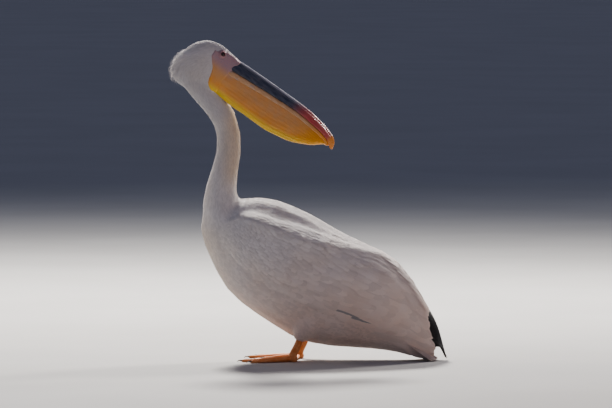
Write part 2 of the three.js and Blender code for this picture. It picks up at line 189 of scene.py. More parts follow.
# The skull's sections.
crown_line = through((-139, -92), (-135, -66), (-127, -40), (-108, -14), (-84, 1), (-60, 6), (-28, 6),
                     (BILL_ROOT, 1))
floor_line = through((-139, -118), (-133, -140), (-122, -153), (-98, -160), (-63, -158), (-20, -130),
                     (BILL_ROOT, -114))
skull_half = through((-139, 11), (-133, 23), (-120, 31), (-96, 36), (-70, 36.5), (-45, 33), (-20, 31),
                     (BILL_ROOT, 29))
skull_square = through((-110, 0.95), (-60, 0.66), (BILL_ROOT, 0.7))

# The bare skin of the face runs back to here at each height, and the feathers of the forehead end in a point.
bare_back = through((-120, 12), (-112, -6), (-100, -20), (-80, -28), (-60, -36), (-45, -50), (-30, -60),
                    (-13, -61), (-4, -54), (0, -30), (3, 4))
forehead_half = through((-66, 40), (-50, 24), (-30, 15), (-10, 7), (6, 1.5))


def skull_angle(u, v):
    """The angle round the skull's section at which the height is v, from 0 at the crown."""
    middle, deep = between(crown_line(u), floor_line(u))
    return np.arccos(np.clip((v - middle) / deep, -1, 1))


def skull_point(u, angle, side):
    """A point of the head's side, in the world."""
    middle, deep = between(crown_line(u), floor_line(u))
    wide = skull_half(u) * np.sin(angle) ** skull_square(u)
    return head_to_world(side * wide, u, middle + deep * np.cos(angle))


def bare_share(w, u, v):
    """How far a point of the head is inside the bare skin, in millimetres; negative among the feathers."""
    above_neck = v - pouch_line(np.maximum(u, BILL_ROOT)) + np.where(u > BILL_ROOT, 3.0, 7.0)
    inside = np.minimum(u - bare_back(v), above_neck)
    return np.where(v > -14, np.minimum(inside, np.abs(w) - forehead_half(u)), inside)


# ---- meshes


def add_object(name, data):
    obj = bpy.data.objects.new(name, data)
    bpy.context.scene.collection.objects.link(obj)
    return obj


def add_piece(made, material, slot, *replaced):
    """Makes a mesh, or an object that is already in the scene, a visible piece of the part."""
    obj = made if isinstance(made, bpy.types.Object) else add_object(made.name, made)
    obj.data.materials.clear()
    obj.data.materials.append(material)
    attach(obj, "root")
    if replaced:
        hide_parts(*replaced)


def mesh_from(name, verts, *blocks):
    """A smooth mesh from points and integer arrays of faces, one row of corners for each face."""
    mesh = bpy.data.meshes.new(name)
    verts = np.asarray(verts, float).ravel()
    corners = np.concatenate([block.ravel() for block in blocks])
    sizes = np.concatenate([np.full(len(block), block.shape[1]) for block in blocks])
    mesh.vertices.add(len(verts) // 3)
    mesh.vertices.foreach_set("co", verts)
    mesh.loops.add(len(corners))
    mesh.loops.foreach_set("vertex_index", corners)
    mesh.polygons.add(len(sizes))
    mesh.polygons.foreach_set("loop_start", np.cumsum(sizes) - sizes)
    mesh.update(calc_edges=True)
    mesh.validate()
    mesh.shade_smooth()
    return mesh


def grid_faces(rows, columns, closed=False):
    """Quads over a grid of rows x columns points; closed joins the last column to the first."""
    r, c = np.meshgrid(np.arange(rows - 1), np.arange(columns - 1 + closed), indexing="ij")
    here, after = r * columns + c, r * columns + (c + 1) % columns
    return np.stack([here, after, after + columns, here + columns], -1).reshape(-1, 4)


def lofted(name, rings):
    """A closed skin over rings of points, an array of rings x sides x 3, with a fan over each end."""
    rows, sides = rings.shape[:2]
    verts = np.concatenate([rings.reshape(-1, 3), rings[0].mean(0)[None], rings[-1].mean(0)[None]])
    k = np.arange(sides)
    after = (k + 1) % sides
    last = (rows - 1) * sides
    start, end = (np.full(sides, rows * sides + n) for n in (0, 1))
    fans = (np.stack(fan, -1) for fan in ([start, after, k], [end, last + k, last + after]))
    mesh = mesh_from(name, verts, grid_faces(rows, sides, True), *fans)
    turn_outwards(mesh)
    return mesh


def ball_angles(rows, sides, gap=0.05):
    """The angle from the pole and the angle round it, for the rings of a rounded body."""
    return np.meshgrid(np.linspace(gap, math.pi - gap, rows), around(sides), indexing="ij")


def turn_outwards(mesh):
    """Turns every face of a closed mesh outwards."""
    bm = bmesh.new()
    bm.from_mesh(mesh)
    bmesh.ops.recalc_face_normals(bm, faces=bm.faces)
    bm.to_mesh(mesh)
    bm.free()


def joined(name, meshes):
    bm = bmesh.new()
    for mesh in meshes:
        bm.from_mesh(mesh)
    result = bpy.data.meshes.new(name)
    bm.to_mesh(result)
    bm.free()
    result.shade_smooth()
    return result


def apply_modifiers(obj, **modifiers):
    """Applies modifiers, each a kind and its settings, to an object's mesh."""
    for kind, settings in modifiers.items():
        modifier = obj.modifiers.new(kind, kind)
        for key, value in settings.items():
            setattr(modifier, key, value)
    old = obj.data
    obj.data = bpy.data.meshes.new_from_object(obj.evaluated_get(bpy.context.evaluated_depsgraph_get()))
    obj.modifiers.clear()
    bpy.data.meshes.remove(old)


def read(items, field, width, kind="f"):
    """One field of every item of a Blender collection, with width numbers a row."""
    values = np.empty(len(items) * width, kind)
    items.foreach_get(field, values)
    return values.reshape(-1, width).astype(float if kind == "f" else int)


def vertex_places(mesh):
    return read(mesh.vertices, "co", 3)


def vertex_normals(mesh):
    return read(mesh.vertex_normals, "vector", 3)


def move_vertices(mesh, places):
    mesh.vertices.foreach_set("co", places.astype(np.float32).ravel())
    mesh.update()


def tube_rings(points, wide, deep, steps, sides, side=X, ridges=0.0, ridge_count=0):
    """Rings along a path through points, with half sizes as functions of the share of its length."""
    points = np.asarray(points, float)
    distance = distance_along(points)
    shares = distance / distance[-1]
    s = (1 - np.cos(np.linspace(0, math.pi, steps + 1))) / 2
    centre = np.stack([through(*zip(shares, points[:, k]))(s) for k in range(3)], -1)
    along = unit(np.gradient(centre, s, axis=0))
    across = unit(side - along * (along @ side)[:, None])
    up = np.cross(across, along)
    swell = 1 + ridges * np.abs(np.sin(math.pi * ridge_count * s))
    turn = around(sides)[:, None]
    out = (wide(s) * swell)[:, None, None] * np.cos(turn) * across[:, None]
    over = (deep(s) * swell)[:, None, None] * np.sin(turn) * up[:, None]
    return centre[:, None] + out + over


def round_ends(size, start, end, tip):
    """A half size that closes to blunt round ends."""

    def value(s):
        near = np.clip(np.minimum(s / start, (1 - s) / end), 0, 1)
        return size(s) * np.maximum(tip, np.sqrt(1 - (1 - near) ** 2))

    return value


# ---- materials


class Value:
    """A node's output. Arithmetic on it adds further nodes."""

    def __init__(self, paint, socket):
        self.paint, self.socket = paint, socket

    def __add__(self, other):
        return self.paint.math("ADD", self, other)

    def __sub__(self, other):
        return self.paint.math("SUBTRACT", self, other)

    def __mul__(self, other):
        return self.paint.math("MULTIPLY", self, other)

    def __abs__(self):
        return self.paint.math("ABSOLUTE", self)

    def spread(self, *numbers, kind="SMOOTHSTEP"):
        """Eases from 0 to 1, or from number 3 to number 4, as this goes from number 1 to number 2."""
        return self.paint.node("MapRange", enumerate((self, *numbers)), interpolation_type=kind)

    def toward(self, color, share):
        return self.paint.mix(share, self, color)


class Paint:
    """A node material in the making."""

    def __init__(self, name):
        self.material = bpy.data.materials.new(name)
        self.material.use_nodes = True
        self.tree = self.material.node_tree
        self.place = self.node("TexCoord", output="Object")

    def node(self, kind, inputs=(), output=0, **settings):
        """Adds a node with its settings, fills inputs given by name or number, and gives one output."""
        made = self.tree.nodes.new("ShaderNode" + kind)
        for key, value in settings.items():
            setattr(made, key, value)
        for key, value in dict(inputs).items():
            self.plug(made.inputs[key], value)
        return Value(self, made.outputs[output])

    def plug(self, socket, value):
        if isinstance(value, Value):
            self.tree.links.new(value.socket, socket)
        else:
            socket.default_value = (*value, 1) if socket.type == "RGBA" else value

    def math(self, operation, *values):
        return self.node("Math", enumerate(values), operation=operation)

    def mix(self, share, a, b, blend="MIX"):
        return self.node("Mix", {0: share, 6: a, 7: b}, 2, data_type="RGBA", blend_type=blend)

    def along(self, axis, origin=(0, 0, 0)):
        """The distance along an axis from an origin, in millimetres."""
        moved = self.node("VectorMath", {0: self.place, 1: tuple(origin)}, operation="SUBTRACT")
        scaled = tuple(np.asarray(axis, float) / MM)
        return self.node("VectorMath", {0: moved, 1: scaled}, "Value", operation="DOT_PRODUCT")

    def head_places(self):
        """The head's w, u and v in millimetres."""
        return [self.along(HEAD[:, k], HEAD_ORIGIN) for k in range(3)]

    def vector(self, *parts):
        return self.node("CombineXYZ", enumerate(parts))

    def noise(self, scale, detail=3.0, rough=0.55, place=None):
        inputs = {"Vector": place or self.place, "Scale": scale, "Detail": detail, "Roughness": rough}
        return self.node("TexNoise", inputs)

    def cells(self, scale, feature="DISTANCE_TO_EDGE", place=None):
        return self.node("TexVoronoi", {"Vector": place or self.place, "Scale": scale}, feature=feature)

    def vane(self):
        """Places on a feather: how far from its shaft, up to 1 at the edge, and along it from 0 to 1."""
        uv = self.node("UVMap", uv_map="Vane")
        across, along = (self.node("SeparateXYZ", {0: uv}, k) for k in (0, 1))
        return abs(across), along

    def bump(self, height, depth, strength):
        return self.node("Bump", {"Strength": strength, "Distance": depth, "Height": height})

    def done(self, color, roughness, normal=None, **settings):
        """Fills the shader's sockets, which settings name in small letters with underscores for spaces."""
        sockets = self.tree.nodes["Principled BSDF"].inputs
        for key, value in {"base_color": color, "roughness": roughness, "normal": normal, **settings}.items():
            if value is not None:
                self.plug(sockets[key.replace("_", " ").title().replace("Ior", "IOR")], value)
        return self.material


WHITE = (0.82, 0.795, 0.79)
CREAM = (0.80, 0.72, 0.63)
# Rose: partly the bird's own pink flush, partly painted warm light reflected from below.
ROSE_AND_PAINTED_WARM_LIGHT = (0.80, 0.635, 0.555)
# Painted shade: the grey laid in the feathers' hidden bases, in the grooves between barbs and on the skin
# between feathers.
PAINTED_SHADE = (0.60, 0.585, 0.615)
BUFF = (0.80, 0.62, 0.36)
# Painted warm light on the neck's front side.
PAINTED_NECK_WARM_LIGHT = (0.78, 0.64, 0.49)


def plumage_color(paint):
    """White feathers with a buff breast patch. The neck's front is tanned by painted warm light, and the belly
    and the hind wing are rosy, partly the bird's own flush and partly painted warm light from below.
    """
    t = paint.along(BODY_AXIS, BREAST)
    height = paint.along((0, 0, 1))
    y = paint.along((0, 1, 0))
    patches = paint.noise(9.0)
    color = paint.mix(patches.spread(0.35, 0.75, 0.0, 0.4), WHITE, CREAM)
    # Rosier low down and towards the tail: partly the bird's pink flush, partly painted warm light reflected
    # from below.
    belly = height.spread(400, 110) * t.spread(-60, 240, 0.45, 1.0)
    color = color.toward(ROSE_AND_PAINTED_WARM_LIGHT, belly * patches.spread(0.3, 0.7, 0.7, 1.0))
    breast = height.spread(150, 240) * height.spread(430, 330)
    color = color.toward(BUFF, breast * y.spread(-170, -300, 0.0, 0.28))
    # Painted warm light: the middle of the neck is tanned on its front side only.
    neck = height.spread(455, 540) * height.spread(735, 660)
    return color.toward(PAINTED_NECK_WARM_LIGHT, neck * y.spread(-262, -205, 0.10, 0.80))


def feather_material(name, barbs, barb_count, shadow):
    """White vanes with a cream shaft and fine slanting barbs, greyed by painted shade at the base under the
    feather before and in the grooves between the barbs.
    """
    paint = Paint(name)
    side, along = paint.vane()
    each = paint.node("NewGeometry", output="Random Per Island").spread(0, 1, 0.90, 1.04)
    color = paint.mix(1.0, plumage_color(paint), paint.vector(each, each, each), "MULTIPLY")
    # Painted shade: each feather greys towards its base, where the feather before covers it.
    color = color.toward(PAINTED_SHADE, along.spread(0.75, 0.1, 0.0, shadow))
    lines = paint.math("SINE", (side * -0.55 + along) * barb_count)
    shaft = side.spread(0.0, 0.09, 1.0, 0.0)
    color = color.toward(CREAM, shaft * 0.35)
    # Painted shade in the grooves between the barbs, where the bump is lowest.
    color = color.toward(PAINTED_SHADE, lines.spread(-1, 1, 0.12, 0.0))
    normal = paint.bump(lines * 0.35 + shaft * 1.2 + paint.noise(500.0), 0.0008, barbs)
    return paint.done(color, 0.72, normal, sheen_weight=0.25, sheen_roughness=0.5, specular_ior_level=0.25)


def dark_feather_material(name, dark, edge):
    """Worn flight feathers, paler along their edges and with a paler shaft."""
    paint = Paint(name)
    side, along = paint.vane()
    shaft = side.spread(0.02, 0.08, 1.0, 0.0)
    color = paint.mix(side.spread(0.72, 1.0, 0.0, 0.7), dark, edge)
    color = color.toward((0.16, 0.14, 0.13), shaft * 0.5)
    color = color.toward(edge, paint.noise(60.0, 4.0).spread(0.5, 0.8, 0.0, 0.35))
    lines = paint.math("SINE", (side * -0.3 + along) * 420.0)
    normal = paint.bump(lines * 0.15 + shaft, 0.0005, 0.7)
    return paint.done(color, 0.48, normal, specular_ior_level=0.4)


def skin_material():
    """The feathers' own markings on the skin between them, greyed a quarter of the way by painted shade for the
    gaps.
    """
    paint = Paint("downy_skin")
    normal = paint.bump(paint.noise(420.0), 0.0008, 0.5)
    # The skin is painted a quarter of the way to shade, standing in for the shade in the gaps between feathers.
    return paint.done(plumage_color(paint).toward(PAINTED_SHADE, 0.25), 0.85, normal, sheen_weight=0.2)


PINK = (0.56, 0.34, 0.34)
LILAC = (0.42, 0.32, 0.39)
ORANGE = (0.84, 0.37, 0.08)
DEEP_ORANGE = (0.84, 0.36, 0.025)
TAN = (0.70, 0.40, 0.20)
# Partly the pouch's own yellow, partly painted back light shining through it.
YELLOW_AND_PAINTED_BACK_LIGHT = (0.97, 0.67, 0.07)


def soft_skin_color(paint, u, v):
    """The colours of the bare face and the pouch, which run into each other: rosy lilac round the eye, orange
    from the gape on, tan along the jaw and bright yellow along the lower edge, partly the pouch's own yellow
    and partly painted back light shining through it."""
    places = (BILL_ROOT, 116, 181, 246, 303, 352)
    heights = [float(pouch_line(place)) for place in places]
    depth = v - heights[0]
    for start, end, low, high in zip(places, places[1:], heights, heights[1:]):
        depth = depth - u.spread(start, end, 0, high - low, kind="LINEAR")
    face = paint.mix(paint.noise(300.0, 4.0).spread(0.3, 0.75, 0.15, 0.75), PINK, LILAC)
    jaw = depth.spread(18, 60, 0.0, 0.62) + paint.noise(55.0, 4.0).spread(0.3, 0.7, -0.12, 0.22)
    pouch = paint.mix(paint.math("MAXIMUM", jaw, 0.0), ORANGE, TAN)
    color = face.toward(pouch, v.spread(-28, -62) * u.spread(-75, -30, 0.75, 1.0))
    color = color.toward(pouch, u.spread(16, 34))
    # The yellow lower edge: partly the pouch's own yellow, partly painted light shining through the pouch from
    # behind.
    color = color.toward(YELLOW_AND_PAINTED_BACK_LIGHT, depth.spread(26, 6) * u.spread(-40, 10, 0.3, 0.95))
    return color.toward(DEEP_ORANGE, u.spread(225, 325, 0.0, 0.85))


def face_material():
    """Bare facial skin with pores and soft creases, redder round the eye."""
    paint = Paint("facial_skin")
    _, u, v = paint.head_places()
    squares = [paint.math("POWER", place - middle, 2.0) for place, middle in ((u, EYE_U), (v, EYE_V))]
    from_eye = paint.math("SQRT", squares[0] + squares[1])
    color = soft_skin_color(paint, u, v).toward((0.50, 0.25, 0.25), from_eye.spread(13, 8) * 0.55)
    creases = paint.noise(210.0, 5.0, 0.65)
    pores = paint.cells(820.0, "F1").spread(0.0, 0.6)
    normal = paint.bump(pores * 0.3 + creases * 2.0, 0.0006, 0.55)
    rough = creases.spread(0.3, 0.7, 0.40, 0.55)
    return paint.done(color, rough, normal, subsurface_weight=0.08, subsurface_scale=0.003)


def eye_material():
    """A dark red-brown iris round a black pupil, under a wet clear coat."""
    paint = Paint("eye")
    w, u, v = paint.head_places()
    places = zip((abs(w), u, v), (EYE_W, EYE_U, EYE_V), EYE_AXIS / EYE_RADIUS)
    first, second, third = ((place - middle) * float(weight) for place, middle, weight in places)
    outwards = first + second + third
    iris = paint.mix(paint.noise(900.0).spread(0.35, 0.7), (0.05, 0.009, 0.005), (0.12, 0.026, 0.012))
    color = paint.mix(outwards.spread(0.70, 0.78), (0.012, 0.006, 0.006), iris)
    color = color.toward((0.002, 0.002, 0.002), outwards.spread(0.935, 0.95))
    return paint.done(color, 0.12, coat_weight=1.0, coat_roughness=0.02, specular_ior_level=0.6)


def bill_material():
    """Blue-black horn with a pale ridge, partly its own colour and partly a painted highlight, a pink-red flank
    far down and an orange nail.
    """
    paint = Paint("bill_horn")
    w, u, v = paint.head_places()
    side = abs(w)
    grain = paint.noise(4.0, 5.0, 0.6, paint.vector(w * 0.10, u * 0.008, v * 0.10))
    tone = grain.spread(0.35, 0.7)
    mottle = paint.noise(70.0, 4.0)
    color = paint.mix(grain.spread(0.35, 0.68), (0.045, 0.058, 0.095), (0.13, 0.145, 0.19))
    color = color.toward((0.26, 0.20, 0.20), mottle.spread(0.5, 0.75, 0.0, 0.35))
    # The paler ridge is partly the horn's own colour and partly a painted highlight.
    pale = paint.mix(tone, (0.40, 0.40, 0.46), (0.56, 0.55, 0.58))
    color = color.toward(pale, side.spread(8.6, 6.2) * 0.95)
    red = paint.mix(tone, (0.60, 0.10, 0.10), (0.66, 0.20, 0.15))
    color = color.toward(red, u.spread(190, 262) * side.spread(3.0, 9.0, 0.78, 1.0) * 0.94)
    nail = paint.mix(tone, (0.80, 0.28, 0.05), (0.80, 0.38, 0.12))
    color = color.toward(nail, u.spread(332, 346))
    normal = paint.bump(grain + mottle * 0.4, 0.0012, 0.5)
    return paint.done(color, grain.spread(0.3, 0.7, 0.32, 0.48), normal, coat_weight=0.12)


def jaw_material():
    """Tan horn with grey blotches, orange towards its tip."""
    paint = Paint("jaw_horn")
    w, u, v = paint.head_places()
    grain = paint.noise(4.0, 5.0, 0.6, paint.vector(w * 0.12, u * 0.01, v * 0.12))
    color = paint.mix(grain.spread(0.4, 0.66), (0.60, 0.34, 0.17), (0.70, 0.47, 0.29))
    blotch = paint.noise(45.0).spread(0.48, 0.62) * u.spread(230, 60)
    color = color.toward((0.34, 0.32, 0.36), blotch * 0.5)
    color = color.toward((0.82, 0.36, 0.08), u.spread(250, 330))
    return paint.done(color, 0.42, paint.bump(grain, 0.001, 0.5), coat_weight=0.1)


def pouch_material():
    """Thin elastic skin with fine folds and veins down its length."""
    paint = Paint("pouch_skin")
    w, u, v = paint.head_places()
    folds = paint.noise(3.2, 4.0, 0.6, paint.vector(w * 0.14, u * 0.006, v * 0.17))
    past_gape = u.spread(20, 60)
    color = soft_skin_color(paint, u, v)
    color = color.toward((0.52, 0.22, 0.09), folds.spread(0.38, 0.75, 0.0, 0.20) * past_gape)
    vein_place = paint.vector(w * 0.05, u * 0.020, v * 0.05)
    wobble = paint.noise(1.6, 3.0, 0.6, vein_place)
    offset = paint.vector(wobble, wobble, wobble)
    warped = paint.node("VectorMath", {0: vein_place, 1: offset}, operation="ADD")
    veins = paint.cells(1.9, place=warped).spread(0.0, 0.055, 1.0, 0.0) * past_gape
    color = color.toward((0.52, 0.12, 0.06), veins * 0.09)
    normal = paint.bump(folds * 1.6 + veins * 0.25 + paint.noise(420.0) * 0.25, 0.0010, 0.5)
    rough = folds.spread(0.3, 0.7, 0.38, 0.52)
    return paint.done(color, rough, normal, subsurface_weight=0.10, subsurface_scale=0.004)


def leg_material():
    """Orange skin under small scales, dusty at the sole."""
    paint = Paint("leg_skin")
    scales = paint.cells(300.0)
    color = paint.mix(paint.noise(90.0, 4.0).spread(0.35, 0.7), (0.74, 0.26, 0.075), (0.78, 0.36, 0.16))
    color = color.toward((0.45, 0.17, 0.08), scales.spread(0.0, 0.09, 1.0, 0.0) * 0.35)
    color = color.toward((0.50, 0.38, 0.26), paint.along((0, 0, 1)).spread(6, 0, 0.0, 0.35))
    return paint.done(color, 0.5, paint.bump(scales.spread(0.0, 0.3), 0.0004, 0.6))


def claw_material():
    paint = Paint("claw")
    streak = paint.noise(160.0)
    color = paint.mix(streak.spread(0.35, 0.7), (0.20, 0.15, 0.12), (0.42, 0.33, 0.26))
    return paint.done(color, 0.35, paint.bump(streak, 0.0004, 0.5))


def floor_material():
    paint = Paint("floor")
    color = paint.mix(paint.noise(1.2).spread(0.3, 0.7), (0.43, 0.427, 0.424), (0.46, 0.457, 0.454))
    return paint.done(color, 0.7)


# ---- camera, floor and lights

CAMERA_DISTANCE = 18.0
CAMERA_HEIGHT_ANGLE = math.radians(3)
SENSOR_WIDTH = 36
VIEW_WIDTH = 1.72
VIEW_MIDDLE = Vector((0, 0.0, 0.44))
FLOOR_REACH = 300
SKY, SKY_STRENGTH = (0.66, 0.72, 1.0, 1), 0.19

# Each lamp: its place, what it points at, its width, power and colour.
LAMPS = {
    "back_light": ((-3.3, -0.9, 3.85), (-1.2, -0.3, 0), 0.9, 440, (1.0, 0.96, 0.90)),
    "rear_light": ((-2.8, 2.3, 2.6), (-1.0, 0.8, 0), 0.9, 140, (1.0, 0.94, 0.88)),
    "breast_light": ((-1.6, -3.6, 1.6), (0, 0, 0.45), 0.9, 38, (1.0, 0.82, 0.66)),
    "side_fill": ((3.2, -2.0, 2.8), (0, -0.2, 0.5), 2.4, 5, (0.55, 0.72, 1.0)),
    "warm_fill": ((2.8, 2.3, 1.4), (0, 0.2, 0.2), 1.8, 12, (1.0, 0.64, 0.44)),
}


def add_aimed(name, data, place, target):
    """Adds a camera or a lamp that looks from a place at a target."""
    obj = add_object(name, data)
    obj.location = Vector(place)
    obj.rotation_euler = (Vector(target) - obj.location).to_track_quat("-Z", "Y").to_euler()
    return obj


def set_up_camera():
    camera = bpy.data.cameras.new("camera")
    camera.sensor_width = SENSOR_WIDTH
    camera.lens = SENSOR_WIDTH * CAMERA_DISTANCE / VIEW_WIDTH
    camera.clip_end = 500
    away = Vector((math.cos(CAMERA_HEIGHT_ANGLE), 0, math.sin(CAMERA_HEIGHT_ANGLE)))
    obj = add_aimed("camera", camera, VIEW_MIDDLE + away * CAMERA_DISTANCE, VIEW_MIDDLE)
    bpy.context.scene.camera = obj


def set_up_stage():
    corners = [(-1, -1, 0), (1, -1, 0), (1, 1, 0), (-1, 1, 0)]
    mesh = mesh_from("floor", np.array(corners) * FLOOR_REACH, np.array([[0, 1, 2, 3]]))
    floor = add_object("floor", mesh)
    floor.data.materials.append(floor_material())
    world = bpy.data.worlds.new("world")
    bpy.context.scene.world = world
    world.use_nodes = True
    background = world.node_tree.nodes["Background"]
    background.inputs["Color"].default_value = SKY
    background.inputs["Strength"].default_value = SKY_STRENGTH
    for name, (place, target, width, power, color) in LAMPS.items():
        lamp = bpy.data.lights.new(name, "AREA")
        lamp.shape = "DISK"
        lamp.size = width
        lamp.energy = power
        lamp.color = color
        add_aimed(name, lamp, place, target).visible_camera = False
    bpy.context.scene.view_settings.look = "AgX - Medium High Contrast"


set_up_camera()
set_up_stage()


# ---- the skin under the coat

FLESH = ("head", "neck_upper", "neck_lower", "trunk", "wing_left", "wing_right", "thigh_left", "thigh_right")
VOXEL = 3.9 * MM
# The height of the crop's middle, round which the skin is evened more.
CROP_HEIGHT = 385

# The way the coat lies: down the back of the head, down the neck, then along the body to the tail.
HEAD_PATH = [(20, -30), (-10, -40), (-45, -50), (-85, -60), (-112, -80)]
NECK_PATH = [(-322, 784), (-300, 758), (-285, 739), (-268, 718), (-254, 700), (-243, 680), (-235, 660),
             (-230, 620), (-232, 575), (-241, 535), (-252, 480), (-251, 425), (-240, 378)]
BODY_PATH = [(70, -5), (130, 0), (220, 0), (320, 0), (430, 0), (540, 10), (640, 15), (740, 10)]
FLOW = np.array([
    *(head_to_world(0, u, v) for u, v in HEAD_PATH),
    *(np.array([0, y * MM + CAD_SHIFT, z * MM]) for y, z in NECK_PATH),
    *(body_to_world(0, t, h) for t, h in BODY_PATH),
])
FLOW_WAY = unit(np.gradient(FLOW, axis=0))
FLOW_LENGTH = distance_along(FLOW) / MM
FLOW_REACH = 45 * MM
BODY_STARTS = FLOW_LENGTH[len(HEAD_PATH) + len(NECK_PATH)]

# How deep the coat is over the skin, by the distance down the flow.
coat_depth = through((0, 1.6), (90, 2.4), (200, 3.4), (500, 4.2), (620, 5.2), (1050, 5.2), (1180, 2.6),
                     (1300, 1.2))


def slope(line, t):
    """How much an outline rises for each millimetre along the body."""
    return (line(t + 4) - line(t - 4)) / 8


def body_way(points):
    """The direction along the body that draws in with its outlines towards the tail."""
    x, t, h = world_to_body(points)
    t = np.clip(t, 60, 730)
    middle, half = between(back_line(t), belly_line(t))
    share = np.clip((h - middle) / half, -1, 1) / 2 + 0.5
    rise = share * slope(back_line, t) + (1 - share) * slope(belly_line, t)
    inwards = np.clip(x / half_width(t), -1, 1) * slope(half_width, t)
    return unit(BODY_AXIS + rise[:, None] * BODY_UP + inwards[:, None] * X)


def from_thigh(points):
    """How far points are, level, from the middle of the nearer thigh's lower end, in millimetres."""
    x, y, _ = points.T / MM
    end_y = np.where(x > 0, FOOT_Y["left"], FOOT_Y["right"]) + 26 + CAD_SHIFT / MM
    return np.hypot(np.abs(x) - STANCE, y - end_y)


def thigh_share(points):
    """How near points are to the lower end of a thigh, from 0 to 1."""
    return ease(52, 32, from_thigh(points)) * ease(122, 94, points[:, 2] / MM)


def flow_at(points):
    """The coat's direction at points, before it is laid on the surface, and the distance down the flow."""
    gap = np.linalg.norm(points[:, None] - FLOW[None], axis=2)
    weight = bell(gap, gap.min(1, keepdims=True), FLOW_REACH)
    weight /= weight.sum(1, keepdims=True)
    length = weight @ FLOW_LENGTH
    on_body = ease(BODY_STARTS, BODY_STARTS + 130, length)[:, None]
    on_thigh = thigh_share(points)[:, None]
    way = (weight @ FLOW_WAY) * (1 - on_body) + body_way(points) * on_body
    return unit(way * (1 - on_thigh) + np.array([0, 0.25, -1.0]) * on_thigh), length


def wing_share(points):
    """How high points stand between the folded wing's lower (0) and upper (1) edge, and how far along it."""
    _, t, h = world_to_body(points)
    low, high = wing_low(t), wing_high(t)
    return (h - low) / np.maximum(high - low, 1), t


def shoulder_rise(points):
    """How far the folded wing's shoulder stands out below its upper edge, with a hollow above it."""
    share, t = wing_share(points)
    along = ease(46, 96, t) * ease(520, 220, t)
    return along * (7.5 * bell(share, 0.85, 0.12) - 4.5 * bell(share, 1.12, 0.09))


def keel():
    """Fills the seam between the folded wings over the rump, so that the skin closes there."""
    t = np.linspace(520, 682, 10)[:, None]
    turn = around(16)
    return lofted("keel", body_to_world(15 * np.cos(turn), t, back_line(t) - 19 + 13 * np.sin(turn)))


def relax(mesh, weight, rounds, return_push=-0.58):
    """Moves each point towards its neighbours' middle. A negative return push makes up for the shrinking."""
    a, b = read(mesh.edges, "vertices", 2, "i").T
    verts = vertex_places(mesh)
    count = len(verts)
    degree = np.bincount(a, minlength=count) + np.bincount(b, minlength=count)
    for n in range(rounds):
        total = [np.bincount(a, verts[b, k], count) + np.bincount(b, verts[a, k], count) for k in range(3)]
        push = return_push if n % 2 else 0.6
        verts += (np.stack(total, -1) / degree[:, None] - verts) * (push * weight)[:, None]
    move_vertices(mesh, verts)


def keep_largest(mesh):
    """Drops every loose body of a mesh but the largest."""
    bm = bmesh.new()
    bm.from_mesh(mesh)
    left, best = set(bm.verts), set()
    while left:
        body, front = set(), {left.pop()}
        while front:
            body |= front
            front = {edge.other_vert(vert) for vert in front for edge in vert.link_edges} - body
        left -= body
        best = max(best, body, key=len)
    bmesh.ops.delete(bm, geom=[vert for vert in bm.verts if vert not in best], context="VERTS")
    bm.to_mesh(mesh)
    bm.free()


def unwrap(obj):
    bpy.ops.object.select_all(action="DESELECT")
    obj.select_set(True)
    bpy.context.view_layer.objects.active = obj
    obj.data.uv_layers.new(name="OFBake")
    bpy.ops.object.mode_set(mode="EDIT")
    bpy.ops.mesh.select_all(action="SELECT")
    bpy.ops.uv.smart_project(angle_limit=math.radians(70), island_margin=0.002)
    bpy.ops.object.mode_set(mode="OBJECT")
    obj.select_set(False)


def make_skin():
    """One closed skin from the flesh nodes: remeshed, evened, set in by the coat's depth and unwrapped."""
    flesh = [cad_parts[name].data for name in FLESH]
    skin = add_object("skin", joined("skin", [*flesh, keel()]))
    remesh = {"mode": "VOXEL", "voxel_size": VOXEL, "use_smooth_shade": True}
    apply_modifiers(skin, REMESH=remesh, SMOOTH={"factor": 0.6, "iterations": 12})
    keep_largest(skin.data)
    verts = vertex_places(skin.data)
    from_crop = np.hypot(verts[:, 1] - BREAST[1], verts[:, 2] - CROP_HEIGHT * MM) / MM
    relax(skin.data, ease(400, 520, flow_at(verts)[1]), 40)
    relax(skin.data, ease(80, 20, from_crop), 60, return_push=0.6)
    verts = vertex_places(skin.data)
    outwards = shoulder_rise(verts) - coat_depth(flow_at(verts)[1])
    move_vertices(skin.data, verts + vertex_normals(skin.data) * outwards[:, None] * MM)
    apply_modifiers(skin, SMOOTH={"factor": 0.5, "iterations": 4})
    unwrap(skin)
    return skin


def spaced_out(places, gaps):
    """Picks places so that no two are closer than their gap."""
    cells = np.floor(places / float(gaps.max())).astype(int).tolist()
    near = [(i, j, k) for i in (-1, 0, 1) for j in (-1, 0, 1) for k in (-1, 0, 1)]
    grid, kept = {}, []
    for n, ((x, y, z), (cx, cy, cz), limit) in enumerate(zip(places.tolist(), cells, (gaps**2).tolist())):
        around_it = (place for i, j, k in near for place in grid.get((cx + i, cy + j, cz + k), ()))
        if all((x - a) ** 2 + (y - b) ** 2 + (z - c) ** 2 >= limit for a, b, c in around_it):
            grid.setdefault((cx, cy, cz), []).append((x, y, z))
            kept.append(n)
    return np.array(kept, int)


